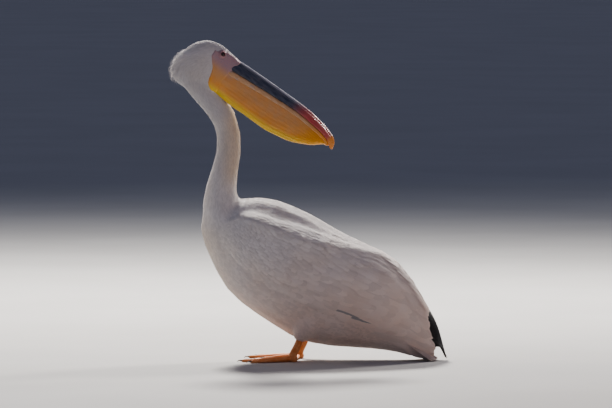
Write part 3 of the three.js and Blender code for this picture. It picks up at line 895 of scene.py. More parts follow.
class Skin:
    """The skin's surface: where it is, which way the coat lies on it, and its unwrap."""

    def __init__(self, mesh):
        mesh.calc_loop_triangles()
        self.verts = vertex_places(mesh)
        self.faces = read(mesh.loop_triangles, "vertices", 3, "i")
        loops = read(mesh.loop_triangles, "loops", 3, "i")
        self.uv = read(mesh.uv_layers["OFBake"].data, "uv", 2)[loops].mean(1)
        self.normals = unit(vertex_normals(mesh)[self.faces].mean(1))
        self.centres = self.verts[self.faces].mean(1)
        way, self.flow = flow_at(self.centres)
        self.way = unit(way - self.normals * np.sum(way * self.normals, 1, keepdims=True))
        a, b, c = (self.verts[self.faces[:, k]] for k in range(3))
        self.areas = np.linalg.norm(np.cross(b - a, c - a), axis=1) / 2
        self.tree = BVHTree.FromPolygons(self.verts.tolist(), self.faces.tolist())
        self.normal_list = [Vector(normal) for normal in self.normals]
        self.way_list = [Vector(way) for way in self.way]

    def scatter(self, spacing, wanted):
        """Root places about spacing apart, in millimetres at each face, on the faces that are wanted."""
        faces = np.nonzero(wanted)[0]
        spacing = np.broadcast_to(spacing, len(wanted)) * MM
        share = self.areas[faces] / spacing[faces] ** 2
        count = int(share.sum() * TRIES)
        picked = faces[rng.choice(len(faces), count, p=share / share.sum())]
        a, b = rng.random(count), rng.random(count)
        over = a + b > 1
        a[over], b[over] = 1 - a[over], 1 - b[over]
        weights = np.stack([1 - a - b, a, b], -1)
        places = np.einsum("nk,nkd->nd", weights, self.verts[self.faces[picked]])
        kept = spaced_out(places, spacing[picked])
        return places[kept], picked[kept]


# ---- feathers

# How many places are tried on each square of skin as wide as the spacing.
TRIES = 4.5
# Half the width of a feather's patch on the skin's unwrap.
PATCH = 0.0015
# How deep a root is sunk in the skin, in millimetres.
SINK = 0.3
# The share of the coat's way in a feather's direction at each step.
FOLLOW = 0.25
# The least cosine between two faces that a feather still follows. Below it the feather runs straight on.
LEAST_ALIKE = 0.3

# Where the stations stand down a feather, for a small plume, a contour feather and a large one.
PLUME = np.array([0, 0.4, 0.8, 1])
CONTOUR = np.array([0, 0.3, 0.6, 0.85, 0.96, 1])
LARGE = np.array([0, 0.15, 0.32, 0.5, 0.66, 0.8, 0.9, 0.965, 1])

NECK_TOP = 330
NECK_MIDDLE = 500
NECK_END = BODY_STARTS - 30


class Vanes:
    """Feathers as arrays, one row each: centre line, half widths, thickness, sides, and the root's unwrap."""

    def __init__(self, line, normals, widths, thick, uv, roll, camber):
        self.line, self.widths, self.uv, self.camber = line, widths, uv, camber
        self.thick = np.broadcast_to(thick, widths.shape)
        along = unit(np.gradient(line, axis=1))
        side = unit(np.cross(along, normals))
        up = unit(np.cross(side, along))
        roll = np.broadcast_to(roll, len(line))[:, None, None]
        self.side = side * np.cos(roll) + up * np.sin(roll)
        self.up = up * np.cos(roll) - side * np.sin(roll)

    def inside_outline(self):
        """Leaves out feathers that stray off the body or, behind the shoulder, turn away from the tail."""
        x, t, h = world_to_body(self.line)
        kept = ((h < back_line(t) + 7) & (np.abs(x) < half_width(t) + 9)).all(1)
        kept &= (unit(self.line[:, -1] - self.line[:, 0]) @ BODY_AXIS > 0.7) | (t[:, 0] < 300)
        for part in ("line", "widths", "uv", "thick", "side", "up"):
            setattr(self, part, getattr(self, part)[kept])
        return self


def add_vanes(name, vanes, material, *replaced, slot="plumage", across=3):
    """Adds feathers as one piece of closed solid vanes, across points wide, with its two maps."""
    top = np.linspace(-1, 1, across)
    ring = np.concatenate([top, top[-2:0:-1]])
    sides = len(ring)
    face = np.where(np.arange(sides) < across, 1, -1)
    count, stations = vanes.widths.shape
    width = vanes.widths[..., None]
    outwards = (width * ring)[..., None] * vanes.side[:, :, None]
    raised = vanes.thick[..., None] * ((1 - ring**2) * face) - vanes.camber * width * ring**2
    points = vanes.line[:, :, None] + outwards + raised[..., None] * vanes.up[:, :, None]
    k = np.arange(1, across - 2)
    cap_quads = np.stack([k, k + 1, sides - k - 1, sides - k], -1)
    cap_tris = np.array([[0, 1, sides - 1], [across - 2, across - 1, across]])
    end = (stations - 1) * sides
    quads = np.concatenate([grid_faces(stations, sides, True), cap_quads[:, ::-1], cap_quads + end])
    tris = np.concatenate([cap_tris[:, ::-1], cap_tris + end])
    start = (np.arange(count) * stations * sides)[:, None, None]
    mesh = mesh_from(name, points, *((faces + start).reshape(-1, faces.shape[1]) for faces in (quads, tris)))
    local = np.stack([np.tile(ring, stations), np.repeat(np.linspace(0, 1, stations), sides)], -1)
    bake = vanes.uv[:, None] + (local - [0, 0.5]) * [PATCH, PATCH * 2]
    for map_name, places in (("OFBake", bake), ("Vane", np.broadcast_to(local, bake.shape))):
        values = np.concatenate([places[:, faces].reshape(-1, 2) for faces in (quads, tris)])
        mesh.uv_layers.new(name=map_name).data.foreach_set("uv", values.astype(np.float32).ravel())
    mesh.set_sharp_from_angle(angle=math.radians(70))
    add_piece(mesh, material, slot, *replaced)


def lay(roots, faces, lengths, stations, turns, hold):
    """Marches from each root over the skin along the coat's way, and gives the ground line and its normals.

    Each start is turned off the way by its turn, and hold keeps the start's own direction."""
    normal_list, way_list = skin.normal_list, skin.way_list
    ground, normals = np.empty((2, len(roots), stations, 3))
    for n, (root, face, turn) in enumerate(zip(roots, faces, turns)):
        here, normal = Vector(root), normal_list[face]
        way = (way_list[face] - normal * way_list[face].dot(normal)).normalized()
        way = way * math.cos(turn) + normal.cross(way) * math.sin(turn)
        step = lengths[n] / (stations - 1)
        ground[n, 0], normals[n, 0] = here, normal
        for s in range(1, stations):
            here, field = here + way * step, way
            place, _, face, _ = skin.tree.find_nearest(here)
            if normal_list[face].dot(normal) >= LEAST_ALIKE:
                here, normal, field = place, normal_list[face], way_list[face]
            way = way * (1 - FOLLOW + hold) + field * FOLLOW * (1 - hold)
            way = way - normal * way.dot(normal)
            way = way.normalized() if way.length > 1e-6 else field
            ground[n, s], normals[n, s] = here, normal
    return ground, normals


def blade(s, widest, root, tip):
    """A feather's half width down its length, as a share of its greatest, which is at widest. It starts as wide
    as root. A tip of 2 is round, 1 is a point."""
    rise = root + (1 - root) * np.sin(math.pi / 2 * np.clip(s / widest, 0, 1))
    ahead = np.clip((s - widest) / (1 - widest), 0, 1)
    return np.maximum(rise * (1 - ahead**tip) ** (1 / tip), 0.05)


def at_stations(values, s):
    """Values at evenly spaced steps of each line, read at shares s of its length."""
    place = s * (values.shape[1] - 1)
    i = np.minimum(place.astype(int), values.shape[1] - 2)
    f = (place - i)[None, :, None]
    return values[:, i] * (1 - f) + values[:, i + 1] * f


def laid_vanes(roots, faces, lengths, widths, s, lift, thick, shape, spread, roll=0.08, hold=0.0, camber=0.15,
               curl=0.0):
    """Feathers laid on the skin from their roots, each tip a little over the roots behind it. In millimetres.

    shape goes to blade. spread is how far the feathers turn off the coat's way, and roll how they tilt."""
    count = len(roots)
    turns = rng.normal(0, spread, count)
    ground, normals = lay(roots, faces, lengths * MM, max(4, len(s) - 1), turns, hold)
    ground, normals = at_stations(ground, s), unit(at_stations(normals, s))
    lift = (lift * MM * rng.uniform(0.93, 1.07, count))[:, None]
    height = -SINK * MM + (lift + SINK * MM) * s**0.6 + curl * MM * s**4
    wide = np.broadcast_to(widths * MM, count)[:, None] * blade(s, *shape)
    rolls = rng.normal(0, abs(roll) * 0.6, count) + roll
    line = ground + normals * height[..., None]
    return Vanes(line, normals, wide, thick * MM, skin.uv[faces], rolls, camber)


# ---- head, neck and body plumage


def dress_head():
    """Short velvety plumes, smallest at the edge of the bare skin."""
    w, u, v = world_to_head(skin.centres)
    bare = bare_share(w, u, v)
    under_pouch = (u >= BILL_ROOT) & (v < pouch_line(np.maximum(u, BILL_ROOT)) + 2.5)
    wanted = (skin.flow < NECK_TOP) & (((bare < -0.5) & (u < 7)) | under_pouch)
    roots, faces = skin.scatter(2.5 + 0.5 * ease(150, NECK_TOP, skin.flow), wanted)
    far = ease(140, NECK_TOP, skin.flow[faces])
    lengths = (5.0 + 6.0 * ease(0, 30, -bare[faces]) + 3 * far) * rng.uniform(0.85, 1.15, len(roots))
    lift = coat_depth(skin.flow[faces]) * 0.62
    vanes = laid_vanes(roots, faces, lengths, 0.9 + 0.3 * far, PLUME, lift, thick=0.2, shape=(0.5, 0.5, 1.4),
                       spread=0.12)
    add_vanes("head_plumes", vanes, PLUMAGE["fine"])


def dress_neck():
    """Plumes that lengthen and broaden down the neck, with a ragged edge over the breast."""
    for name, start, end in (("upper", NECK_TOP, NECK_MIDDLE), ("lower", NECK_MIDDLE, NECK_END)):
        ragged = rng.uniform(-24, 24, len(skin.flow)) * (end == NECK_END)
        wanted = (skin.flow >= start) & (skin.flow + ragged < end)
        far = ease(NECK_TOP + 60, NECK_END, skin.flow)
        roots, faces = skin.scatter(2.4 + 1.0 * far, wanted)
        far = far[faces]
        lengths = (14 + 11 * far) * rng.uniform(0.8, 1.2, len(roots))
        lift = coat_depth(skin.flow[faces]) * (0.42 - 0.10 * far)
        vanes = laid_vanes(roots, faces, lengths, 1.5 + 1.6 * far, PLUME, lift, thick=0.11,
                           shape=(0.55, 0.5, 1.5), spread=0.06, roll=0.03, camber=0.05)
        add_vanes(name + "_neck_plumes", vanes, PLUMAGE["fine"])


def dress_crest():
    """The shaggy tuft at the back of the head."""
    _, u, v = world_to_head(skin.centres)
    roots, faces = skin.scatter(4.2, (u < -104) & (v > -128) & (v < -58) & (skin.flow < 260))
    lengths = rng.uniform(24, 48, len(roots))
    vanes = laid_vanes(roots, faces, lengths, 1.5, CONTOUR, lift=2.4, thick=0.2, shape=(0.4, 0.5, 1.2),
                       spread=0.14, roll=0.1, hold=0.25, curl=9.0)
    add_vanes("crest_plumes", vanes, PLUMAGE["fine"], "crest")


def dress_body():
    """Round-tipped contour feathers, small on the breast and the thighs and long over the back."""
    share, t = wing_share(skin.centres)
    x, _, h = world_to_body(skin.centres)
    height = skin.centres[:, 2] / MM
    under_wing = (h > wing_low(t) + 3) & (share < 0.97) & (t > 52) & (t < 735)
    under_thigh = (from_thigh(skin.centres) < 17) & (height < 86) & (skin.normals[:, 2] < -0.6)
    in_slot = (t > 688) & (np.abs(x) < half_width(t) - 11) & (h > belly_line(t) + 16)
    body = (skin.flow >= NECK_END - 12) & ~under_wing & ~under_thigh & ~in_slot & (t < 730)
    low = h < wing_low(np.clip(t, 42, 742)) + 4
    leg = thigh_share(skin.centres)
    size = ease(-20, 230, t) * (0.25 + 0.75 * ease(70, 135, height)) * (1 - 0.7 * leg)
    long_back = np.where(low, 0, ease(110, 420, t))
    spacing = 3.7 + 2.4 * size + 2.2 * long_back - 1.2 * leg
    parts = (("breast", "contour", low & (t < 190)), ("belly", "contour", low & (t >= 190)),
             ("back", "covert", ~low & (t < 640)))
    for name, material, wanted in parts:
        roots, faces = skin.scatter(spacing, body & wanted)
        near, back, by_leg, high = size[faces], long_back[faces], leg[faces], 1 - low[faces]
        uneven = rng.uniform(0.85, 1.15, len(roots)) ** (1 + 1.2 * back)
        lengths = (23 + 12 * near + 34 * back - 11 * by_leg) * uneven
        to_shank = np.where(by_leg > 0.3, np.maximum(height[faces] - 69, 8), 99)
        lengths = np.minimum(np.minimum(lengths, np.maximum(reach_to_end(roots), 14)), to_shank)
        widths = 3.6 + 2.9 * near + 2.8 * back - 1.6 * by_leg
        lift = coat_depth(skin.flow[faces]) * (0.5 - 0.16 * high)
        lift *= 1 + 0.35 * ease(120, 60, t[faces]) * high
        vanes = laid_vanes(roots, faces, lengths, widths, CONTOUR, lift, thick=0.16, shape=(0.62, 0.45, 2.0),
                           spread=0.07, roll=0.03, camber=0.07)
        add_vanes(name + "_feathers", vanes, PLUMAGE[material])


# ---- wings, rump and tail

# Where the rows of coverts start and end, how far apart they are as a share of a covert's length, and how far
# apart the coverts in a row are as a share of a covert's half width.
WING_ROOT, WING_END = 44.0, 705
ROW_GAP, COVERT_GAP = 0.24, 1.12
covert_length = through((44, 18), (90, 26), (160, 38), (260, 56), (360, 80), (470, 104), (600, 118),
                        (700, 90))
covert_width = through((44, 4.6), (90, 6.2), (160, 8.5), (260, 11), (360, 13.5), (470, 15.5), (600, 16),
                       (700, 11))
covert_lift = through((44, 1.9), (160, 3.0), (320, 4.2), (560, 3.8), (700, 1.8))
# How far along the body the primaries start.
PRIMARY_ROOT = 600
# The white feathers end along this slanting line behind the wing: how far along, by the height.
white_end = through((-60, 750), (-2, 741), (9, 729), (23, 714), (37, 700), (74, 676), (110, 668))


def reach_to_end(points):
    """How far a feather can run along the body from each point before the white feathers end."""
    _, t, h = world_to_body(points)
    share = (h - belly_line(t)) / (back_line(t) - belly_line(t))
    ahead = np.linspace(540, 760, 111)
    height = belly_line(ahead) + share[:, None] * (back_line(ahead) - belly_line(ahead))
    allowed = ahead <= white_end(height)
    return ahead[len(ahead) - 1 - np.argmax(allowed[:, ::-1], axis=1)] - t


def wing_angles(t, low_margin=0.0, high_margin=0.0):
    """The angles round the body at which the folded wing starts and ends, inside its margins."""
    middle, half = between(back_line(t), belly_line(t))
    heights = (wing_low(t) + low_margin, wing_high(t) - high_margin)
    return [np.arcsin(np.clip((height - middle) / half, -1, 1)) for height in heights]


def flank_roots(side, t, turn):
    """Root places on the folded wing, by the distance along the body and the angle round it."""
    middle, half = between(back_line(t), belly_line(t))
    wide, c, s = half_width(t), np.cos(turn), np.sin(turn)
    outer = body_to_world(side * (wide + 60) * c, t, middle + (half + 60) * s)
    inner = body_to_world(side * wide * 0.3 * c, t, middle + half * 0.3 * s)
    hits = []
    for start, way in zip(outer, inner - outer):
        way = Vector(way)
        place, _, face, _ = skin.tree.ray_cast(Vector(start), way.normalized(), way.length)
        if place is not None:
            hits.append((place, face))
    return np.array([place for place, _ in hits]), np.array([face for _, face in hits])


def wing_feathers(name, side, places, sizes, material, **settings):
    """A piece of large feathers on the folded wing. Their length, width and lift go by the distance along."""
    roots, faces = flank_roots(side, *np.array(places).T)
    room = reach_to_end(roots)
    fits = room > 26
    roots, faces, room = roots[fits], faces[fits], room[fits]
    length, width, lift = (size(world_to_body(roots)[1]) for size in sizes)
    length = np.minimum(length * rng.uniform(0.92, 1.08, len(roots)), room)
    width = width * rng.uniform(0.93, 1.07, len(roots))
    vanes = laid_vanes(roots, faces, length, width, LARGE, lift, thick=0.34, **settings)
    slot = "plumage" if material == "covert" else "flight_feathers"
    add_vanes(name, vanes.inside_outline(), PLUMAGE[material], slot=slot, across=5)


def dress_coverts(side, name):
    """Rows of coverts that lengthen from the shoulder to the tip, each row set between those before it."""
    places = []
    t, row = WING_ROOT, 0
    while t < WING_END:
        low, high = wing_angles(t, 5, 2)
        half = between(back_line(t), belly_line(t))[1]
        arc = (high - low) * (half + half_width(t)) / 2
        count = max(3, int(arc / (covert_width(t) * COVERT_GAP)))
        for k in range(count + 1 - row % 2):
            along = t + rng.normal(0, 0.035) * covert_length(t)
            places.append((along, low + (high - low) * (k + 0.5 * (row % 2)) / count + rng.normal(0, 0.012)))
        t += covert_length(t) * ROW_GAP
        row += 1
    sizes = (covert_length, covert_width, covert_lift)
    wing_feathers("coverts_" + name, side, places, sizes, "covert", shape=(0.62, 0.55, 2.3), spread=0.03,
                  roll=0.055 * side, hold=0.2, camber=0.10)


def dress_scapulars(side, name):
    """Long feathers from the back over the wing's upper edge."""
    places = []
    reach_down = through((90, 0.06), (300, 0.10), (420, 0.5), (640, 0.9))
    for t in np.arange(90, 640, 13.0):
        high = wing_angles(t)[1]
        start = high - reach_down(t)
        end = min(high + 0.16, math.pi / 2 - 0.05 - 0.16 * ease(400, 480, t))
        for k in range(4):
            places.append((t + rng.normal(0, 4), start + (end - start) * (k + rng.random()) / 4))
    length = through((90, 44), (200, 76), (400, 124), (600, 140))
    width = through((90, 5), (300, 9), (450, 13), (600, 14))
    lift = through((90, 3.2), (300, 4.8), (560, 4.4), (700, 2.2))
    wing_feathers("scapulars_" + name, side, places, (length, width, lift), "covert", shape=(0.55, 0.5, 1.6),
                  spread=0.04, roll=0.05 * side, hold=0.2, camber=0.10)


def dress_secondaries(side, name):
    """The grey edges of the folded flight feathers, a thin line low on the wing."""
    t = np.linspace(408, 476, 7)
    places = np.stack([t, wing_angles(t, 12)[0]], -1)
    sizes = [lambda t, size=size: np.full(len(t), size) for size in (68, 3.4, 5.6)]
    wing_feathers("secondaries_" + name, side, places, sizes, "slate", shape=(0.5, 0.3, 1.3), spread=0.004,
                  roll=0.0, hold=0.8, camber=0.03)


def dress_primaries(side, name):
    """The black tips of the long flight feathers: an arch of blades inside the wing's end, the longest beside
    the midline, and a few over them that come out from under the white."""
    s = np.linspace(0, 1, 20)
    lines, normals, widths = [], [], []
    # The two wings' inner blades lie at slightly different depths, so that they don't meet in one plane.
    closer = 0.9 if side > 0 else 0
    for f, outer in [*((k / 11, 0) for k in range(12)), *((k / 9, 1) for k in range(10))]:
        tip = WING_TIP - 3 + 7 * f**4 - (40 - 18 * outer) * (1 - f) ** 1.2
        t = PRIMARY_ROOT + (tip - PRIMARY_ROOT) * s
        turn = math.radians(80 - 66 * f) * (1 - 0.75 * ease(715, WING_TIP, t) * (1 - f))
        middle, deep = between(back_line(t), belly_line(t))
        out = outer * ease(-24, -6, t - white_end(middle + deep * np.cos(turn)))
        proud = 0.4 + 2.0 * ease(0.5, 0.1, f)
        wide = half_width(t) + (2.5 * ease(735, WING_TIP, t) - 6.5) * (1 - out) + proud * out
        inwards = (3.4 + 3.0 * (1 - f) - closer) * (1 - out) - proud * out
        lines.append(body_to_world(side * wide * np.sin(turn), t, middle + (deep - inwards) * np.cos(turn)))
        normals.append((side * np.sin(turn) / wide)[:, None] * X + (np.cos(turn) / deep)[:, None] * BODY_UP)
        widths.append((12.5 - 2 * f) * MM * blade(s, widest=0.5, root=0.8, tip=1.6))
    count = len(lines)
    uv = np.stack([0.05 + 0.04 * np.arange(count), np.full(count, 0.5 + 0.05 * side)], -1)
    vanes = Vanes(np.array(lines), unit(np.array(normals)), np.array(widths), thick=0.4 * MM, uv=uv, roll=0.0,
                  camber=0.10)
    add_vanes("primaries_" + name, vanes, PLUMAGE["black"], "flight_feathers_" + name, slot="flight_feathers",
              across=7)


def dress_rump():
    """Long soft feathers along the middle of the back, where the wings' upper edges meet."""
    x, t, h = world_to_body(skin.centres)
    wanted = (np.abs(x) < 30) & (t > 380) & (t < 632) & (h > 0.8 * back_line(t))
    roots, faces = skin.scatter(9.0, wanted)
    room = reach_to_end(roots) - rng.uniform(0, 14, len(roots))
    fits = room > 24
    roots, faces, room = roots[fits], faces[fits], room[fits]
    lengths = np.minimum(rng.uniform(56, 84, len(roots)), room)
    lift = 1.9 + 1.7 * ease(380, 480, t[faces])
    vanes = laid_vanes(roots, faces, lengths, 7.5, LARGE, lift, thick=0.24, shape=(0.6, 0.5, 1.8),
                       spread=0.05, camber=0.10)
    add_vanes("rump_feathers", vanes.inside_outline(), PLUMAGE["covert"], across=5)


def dress_tail():
    """A fan of stiff white feathers that rests on the ground at its tip."""
    count = 16
    s = np.concatenate([np.linspace(0, 0.9, 10), [0.94, 0.965, 0.98, 0.99, 0.996, 1]])
    start_y = 205 * MM + CAD_SHIFT
    end_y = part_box("tail")[1][1] + 5 * MM
    lines, rolls = [], []
    for f in 2 * np.arange(count) / (count - 1) - 1:
        rank = 1 - abs(f)
        reach = end_y - (15 * f**2 + rng.uniform(0, 3)) * MM - start_y
        z = 110 + 6 * rank + (2.4 + 5.2 * rank - 110 - 6 * rank) * s**0.86
        lines.append(np.stack([(26 * f + 36 * f * s) * MM, start_y + reach * s, z * MM], -1))
        rolls.append(-0.09 * np.sign(f) if abs(f) > 0.1 else 0)
    up = np.tile(unit(np.array([0, 0.62, 0.78])), (count, len(s), 1))
    uv = np.stack([0.05 + 0.045 * np.arange(count), np.full(count, 0.8)], -1)
    widths = np.tile(11 * MM * blade(s, widest=0.8, root=0.5, tip=2.6), (count, 1))
    vanes = Vanes(np.array(lines), up, widths, thick=0.5 * MM, uv=uv, roll=np.array(rolls), camber=0.08)
    add_vanes("tail_feathers", vanes, PLUMAGE["covert"], "tail", across=7)


# ---- face and eyes

FACE_BACK, FACE_FRONT = -72, 20
# Where the skin of the face ends over the base of the bill, at each height.
face_end = through((-110, 10), (-60, 6), (-40, 6), (-30, 8), (-22, 7), (-8, 11), (2, 14))
# The lids' section, from the ball outwards: distance from the eye's middle, and height over the eye's middle.
LID = [(5.2, 5.4), (6.0, 7.1), (6.35, 7.75), (6.8, 8.05), (7.3, 7.85), (7.9, 7.35), (8.5, 7.0)]
# Beyond the lids, by the distance from the eye's middle: how much of the ring lies on the face already.
LID_TO_FACE = [(9.3, 0.55), (10.2, 0.9), (11.2, 1.0), (12.4, 1.0), (13.4, 1.0)]


def eye_bulge(away):
    """How high the skin stands over its general level, by the distance from the eye's middle."""
    return 1.5 * ease(13.0, 8.0, away) + 0.5 * bell(away, 14.6, 1.9) - 0.45 * bell(away, 12.0, 1.5)


def face_place(u, angle, side, depth):
    """A point on one side of the bare face and moved out along the surface by depth, in millimetres."""
    here = skull_point(u, angle, side)
    down = skull_point(u, angle + 0.01, side) - skull_point(u, np.maximum(angle - 0.01, 1e-4), side)
    ahead = skull_point(u + 1, angle, side) - skull_point(u - 1, angle, side)
    normal = unit(np.cross(ahead, down))
    outwards = here - head_to_world(0.0, u, between(crown_line(u), floor_line(u))[0])
    normal *= np.sign(np.sum(normal * outwards, -1, keepdims=True))
    return here + normal * (depth * MM)[..., None]


def add_sheet(mesh, side, material, thickness):
    """Gives a one-sided sheet on the head a thickness inwards, and makes it a piece."""
    outer = Vector(HEAD @ (X * side))
    if sum(polygon.normal @ outer for polygon in mesh.polygons) < 0:
        mesh.flip_normals()
    obj = add_object(mesh.name, mesh)
    apply_modifiers(obj, SOLIDIFY={"thickness": thickness * MM, "offset": -1.0, "use_even_offset": False})
    add_piece(obj, material, "pouch_skin")


def add_face(side, name, material):
    """The bare skin at one side of the face. It dives under the feathers' edge and over the bill's base."""
    rows, columns = 132, 160
    sweep = np.linspace(0.002, 2.95, 600)
    length = distance_along(skull_point(np.full(600, -20.0), sweep, side))
    even = np.interp(np.linspace(0, length[-1], columns), length, sweep)
    u, angle = np.meshgrid(np.linspace(FACE_BACK, FACE_FRONT, rows), even, indexing="ij")
    w, _, v = world_to_head(skull_point(u, angle, side))
    inside = bare_share(w, u, v)
    away = np.hypot(u - EYE_U, v - EYE_V)
    creases = np.sin(u * 0.55 + 0.9 * np.sin(v * 0.16) + 0.05 * v) * np.sin(v * 0.31 + 0.5 * np.sin(u * 0.2))
    end = face_end(v) + 0.5 * np.sin(v * 0.5)
    depth = eye_bulge(away) - 0.5 - 3.2 * ease(1.5, -3.5, inside) - 4.0 * ease(end - 3.5, end + 3, u) ** 1.5
    depth += 0.20 * creases * ease(12, 18, away)
    quads = grid_faces(rows, columns)
    kept = (inside > -4.0) & (away > 8.6) & (u < end + 3)
    used, quads = np.unique(quads[kept.ravel()[quads].all(1)], return_inverse=True)
    points = face_place(u, angle, side, depth).reshape(-1, 3)[used]
    mesh = mesh_from("facial_skin_" + name, points, quads.reshape(-1, 4))
    add_sheet(mesh, side, material, thickness=1.2)


def eye_frame(side):
    """The eye's middle, the way it looks, and the directions up and across it."""
    axis = HEAD @ (EYE_AXIS * [side, 1, 1])
    up = HEAD @ Z
    up = unit(up - axis * (axis @ up))
    return head_to_world(side * EYE_W, EYE_U, EYE_V), axis, up, np.cross(axis, up)


def add_eyelids(side, name, material):
    """The ring of lids: round the ball first, then running out into the skin of the face."""
    centre, axis, up, across = eye_frame(side)
    turns = around(96)
    c, s = np.cos(turns)[:, None], np.sin(turns)[:, None]
    forwards = math.copysign(1, across @ HEAD[:, 1])
    rings = []
    for radius, height in LID:
        r = radius * (1 + 0.06 * np.cos(2 * turns))[:, None] * MM
        h = (height + 0.10 * np.sin(turns * 11 + radius * 2.0) * ease(6.6, 7.6, radius))[:, None] * MM
        rings.append(centre + axis * h + across * r * c + up * r * s)
    rim = rings[-1]
    for away, share in LID_TO_FACE:
        u, v = EYE_U + away * 1.03 * np.cos(turns) * forwards, EYE_V + away * np.sin(turns)
        dip = 0.12 - 1.1 * ease(11.6, 13.4, away)
        face = face_place(u, skull_angle(u, v), side, -0.5 + eye_bulge(away) + dip + 0 * u)
        rings.append(share * face + (1 - share) * (rim + face) / 2)
    mesh = mesh_from("eyelids_" + name, rings, grid_faces(len(rings), len(turns), True))
    add_sheet(mesh, side, material, thickness=0.8)


def add_eyeball(side, name, material):
    centre, axis, up, across = eye_frame(side)
    polar, turn = (angles[..., None] for angles in ball_angles(40, 56, gap=0.02))
    bulge = 1 + 0.035 * ease(0.75, 0.2, polar)
    rounded = np.cos(polar) * axis + np.sin(polar) * (np.cos(turn) * across + np.sin(turn) * up)
    ball = lofted("eyeball_" + name, centre + MM * EYE_RADIUS * 0.99 * bulge * rounded)
    add_piece(ball, material, "eye", "eye_" + name)


# ---- bill and pouch

NAIL_STARTS = 334


def add_upper_bill():
    """The upper jaw: a rounded ridge between two grooves, sharp edges, and a hooked nail."""
    u = np.concatenate([np.linspace(-8, 330, 150), np.linspace(332, BILL_LENGTH, 40)])[:, None]
    c, s = np.cos(around(80)), np.sin(around(80))
    front = np.maximum(u, BILL_ROOT)
    # The base narrows and sinks a little, so that the skin of the face laps over it.
    half = bill_half(front) * (1 - 0.07 * ease(34, 10, u) - 0.25 * ease(8, -8, u))
    top = ridge_line(front) - 1.0 * ease(18, 4, u) - 5 * ease(4, -8, u)
    bottom = palate_line(front)
    edge = bottom + (top - bottom) * 0.22
    share = np.clip(s, 0, 1)
    arch = 0.55 * np.sin(math.pi / 2 * share) ** 2 + 0.45 * share**6
    w_top = half * c
    groove = 1.5 * bell(np.abs(w_top), 8.2, 1.8) * ease(4, 40, u) * ease(352, 330, u)
    crest = 0.7 * bell(w_top, 0, 4.2) * ease(0, 30, u)
    nail = ease(NAIL_STARTS, 343, u)
    step = 0.9 * nail * (1 - ease(356, 364, u))
    plates = 0.16 * np.sin(w_top * 2.1 + 0.6 * np.sin(u * 0.05)) * np.sin(u * 0.21 + w_top) * (1 - nail)
    v_top = edge + (top - edge) * arch + crest - groove + step + plates
    # Below its widest place the flank turns down square to the cutting edge, over the lower jaw's top.
    deep = np.clip(-s, 0, 1)
    w_low = half * np.sign(c) * np.abs(c) ** 0.32
    serration = 0.12 * np.sin(u * 1.9) * bell(np.abs(c), 0.6, 0.3)
    v_low = edge - (edge - bottom + 0.5) * np.sqrt(1 - (1 - deep) ** 2) - serration * deep
    above = s > -1e-9
    rings = head_to_world(np.where(above, w_top, w_low), u, np.where(above, v_top, v_low))
    add_piece(lofted("bill_upper_horn", rings), bill_material(), "bill_horn", "bill_upper")


def add_lower_bill():
    """The lower jaw's two thin arms, joined at the tip."""
    u = np.concatenate([[-12, -4], np.linspace(4, 347, 30)])
    front = np.maximum(u, BILL_ROOT)
    half = np.maximum(bill_half(front) - 4.2, 3.2) - 4.0 * ease(16, -8, u)
    wide = round_ends(lambda s: 4.4 + 0 * s, start=0.01, end=0.02, tip=0.6)
    deep = round_ends(lambda s: ramus_high(u[0] + (u[-1] - u[0]) * s), start=0.01, end=0.02, tip=0.6)
    parts = []
    for side in (1, -1):
        points = np.stack([side * half, u, palate_line(front) - ramus_high(u) - 1], -1)
        rings = tube_rings(points, wide, deep, steps=110, sides=20)
        parts.append(lofted("ramus", head_to_world(*np.moveaxis(rings, -1, 0))))
    polar, turn = ball_angles(20, 28)
    chin_v = palate_line(NAIL_STARTS) - ramus_high(NAIL_STARTS) - 5
    w, v = 13 * np.sin(polar) * np.cos(turn), chin_v + 9 * np.sin(polar) * np.sin(turn)
    parts.append(lofted("chin", head_to_world(w, 332 + 19 * np.cos(polar), v)))
    add_piece(joined("bill_lower_horn", parts), jaw_material(), "jaw_horn", "bill_lower")


def add_pouch():
    """The throat pouch, a thin skin in fine lengthwise folds that hangs from the lower jaw."""
    u = np.linspace(-16, 341, 210)[:, None]
    c, s = np.cos(around(120)), np.sin(around(120))
    front = np.maximum(u, BILL_ROOT)
    top = palate_line(front) - 2 * ramus_high(front) - 0.2
    low = pouch_line(front) + 1.0 + 10 * ease(BILL_ROOT, -16, u)
    low = top + (low - top) * np.sqrt(1 - np.clip((u - 312) / 30, 0, 0.97) ** 2)
    share = np.clip(-s, 0, 1)
    swell = 1 + 0.12 * np.sin(math.pi * share)
    w = (bill_half(front) - 3.0) * swell * np.sign(c) * np.abs(c) ** 0.8
    points = head_to_world(w, u, top + np.where(s > 0, 1.5, top - low) * s)
    fold = np.sin(share * 46 + 1.3 * np.sin(u * 0.035) + 0.6 * np.sin(u * 0.011 + 2))
    fine = np.sin(share * 118 + 2.2 * np.sin(u * 0.045 + 1.0) + u * 0.02)
    sag = np.sin(u * 0.055 + 3.0 * share) * np.sin(share * 5.0)
    out = (0.55 * fold + 0.22 * fine + 0.8 * sag) * ease(0.02, 0.35, share) * ease(341, 300, u)
    normal = unit(np.cross(np.gradient(points, axis=1), np.gradient(points, axis=0)))
    outwards = points - head_to_world(0.0, u, (top + low) / 2)
    normal *= np.sign(np.sum(normal * outwards, -1, keepdims=True))
    points = points + normal * (out * MM)[..., None]
    add_piece(lofted("throat_pouch", points), pouch_material(), "pouch_skin", "pouch")


# ---- legs and feet

ANKLE = 15
# Each toe: its angle out from straight ahead, in degrees, its length and its half thickness.
TOES = [(24, 128, 7), (3, 142, 7.5), (-22, 108, 6.5), (-86, 54, 5.5)]
CLAW = 13
# The length of a toe's scute, and how many the shank has.
SCUTE = 3.6
SHANK_SCUTES = 16


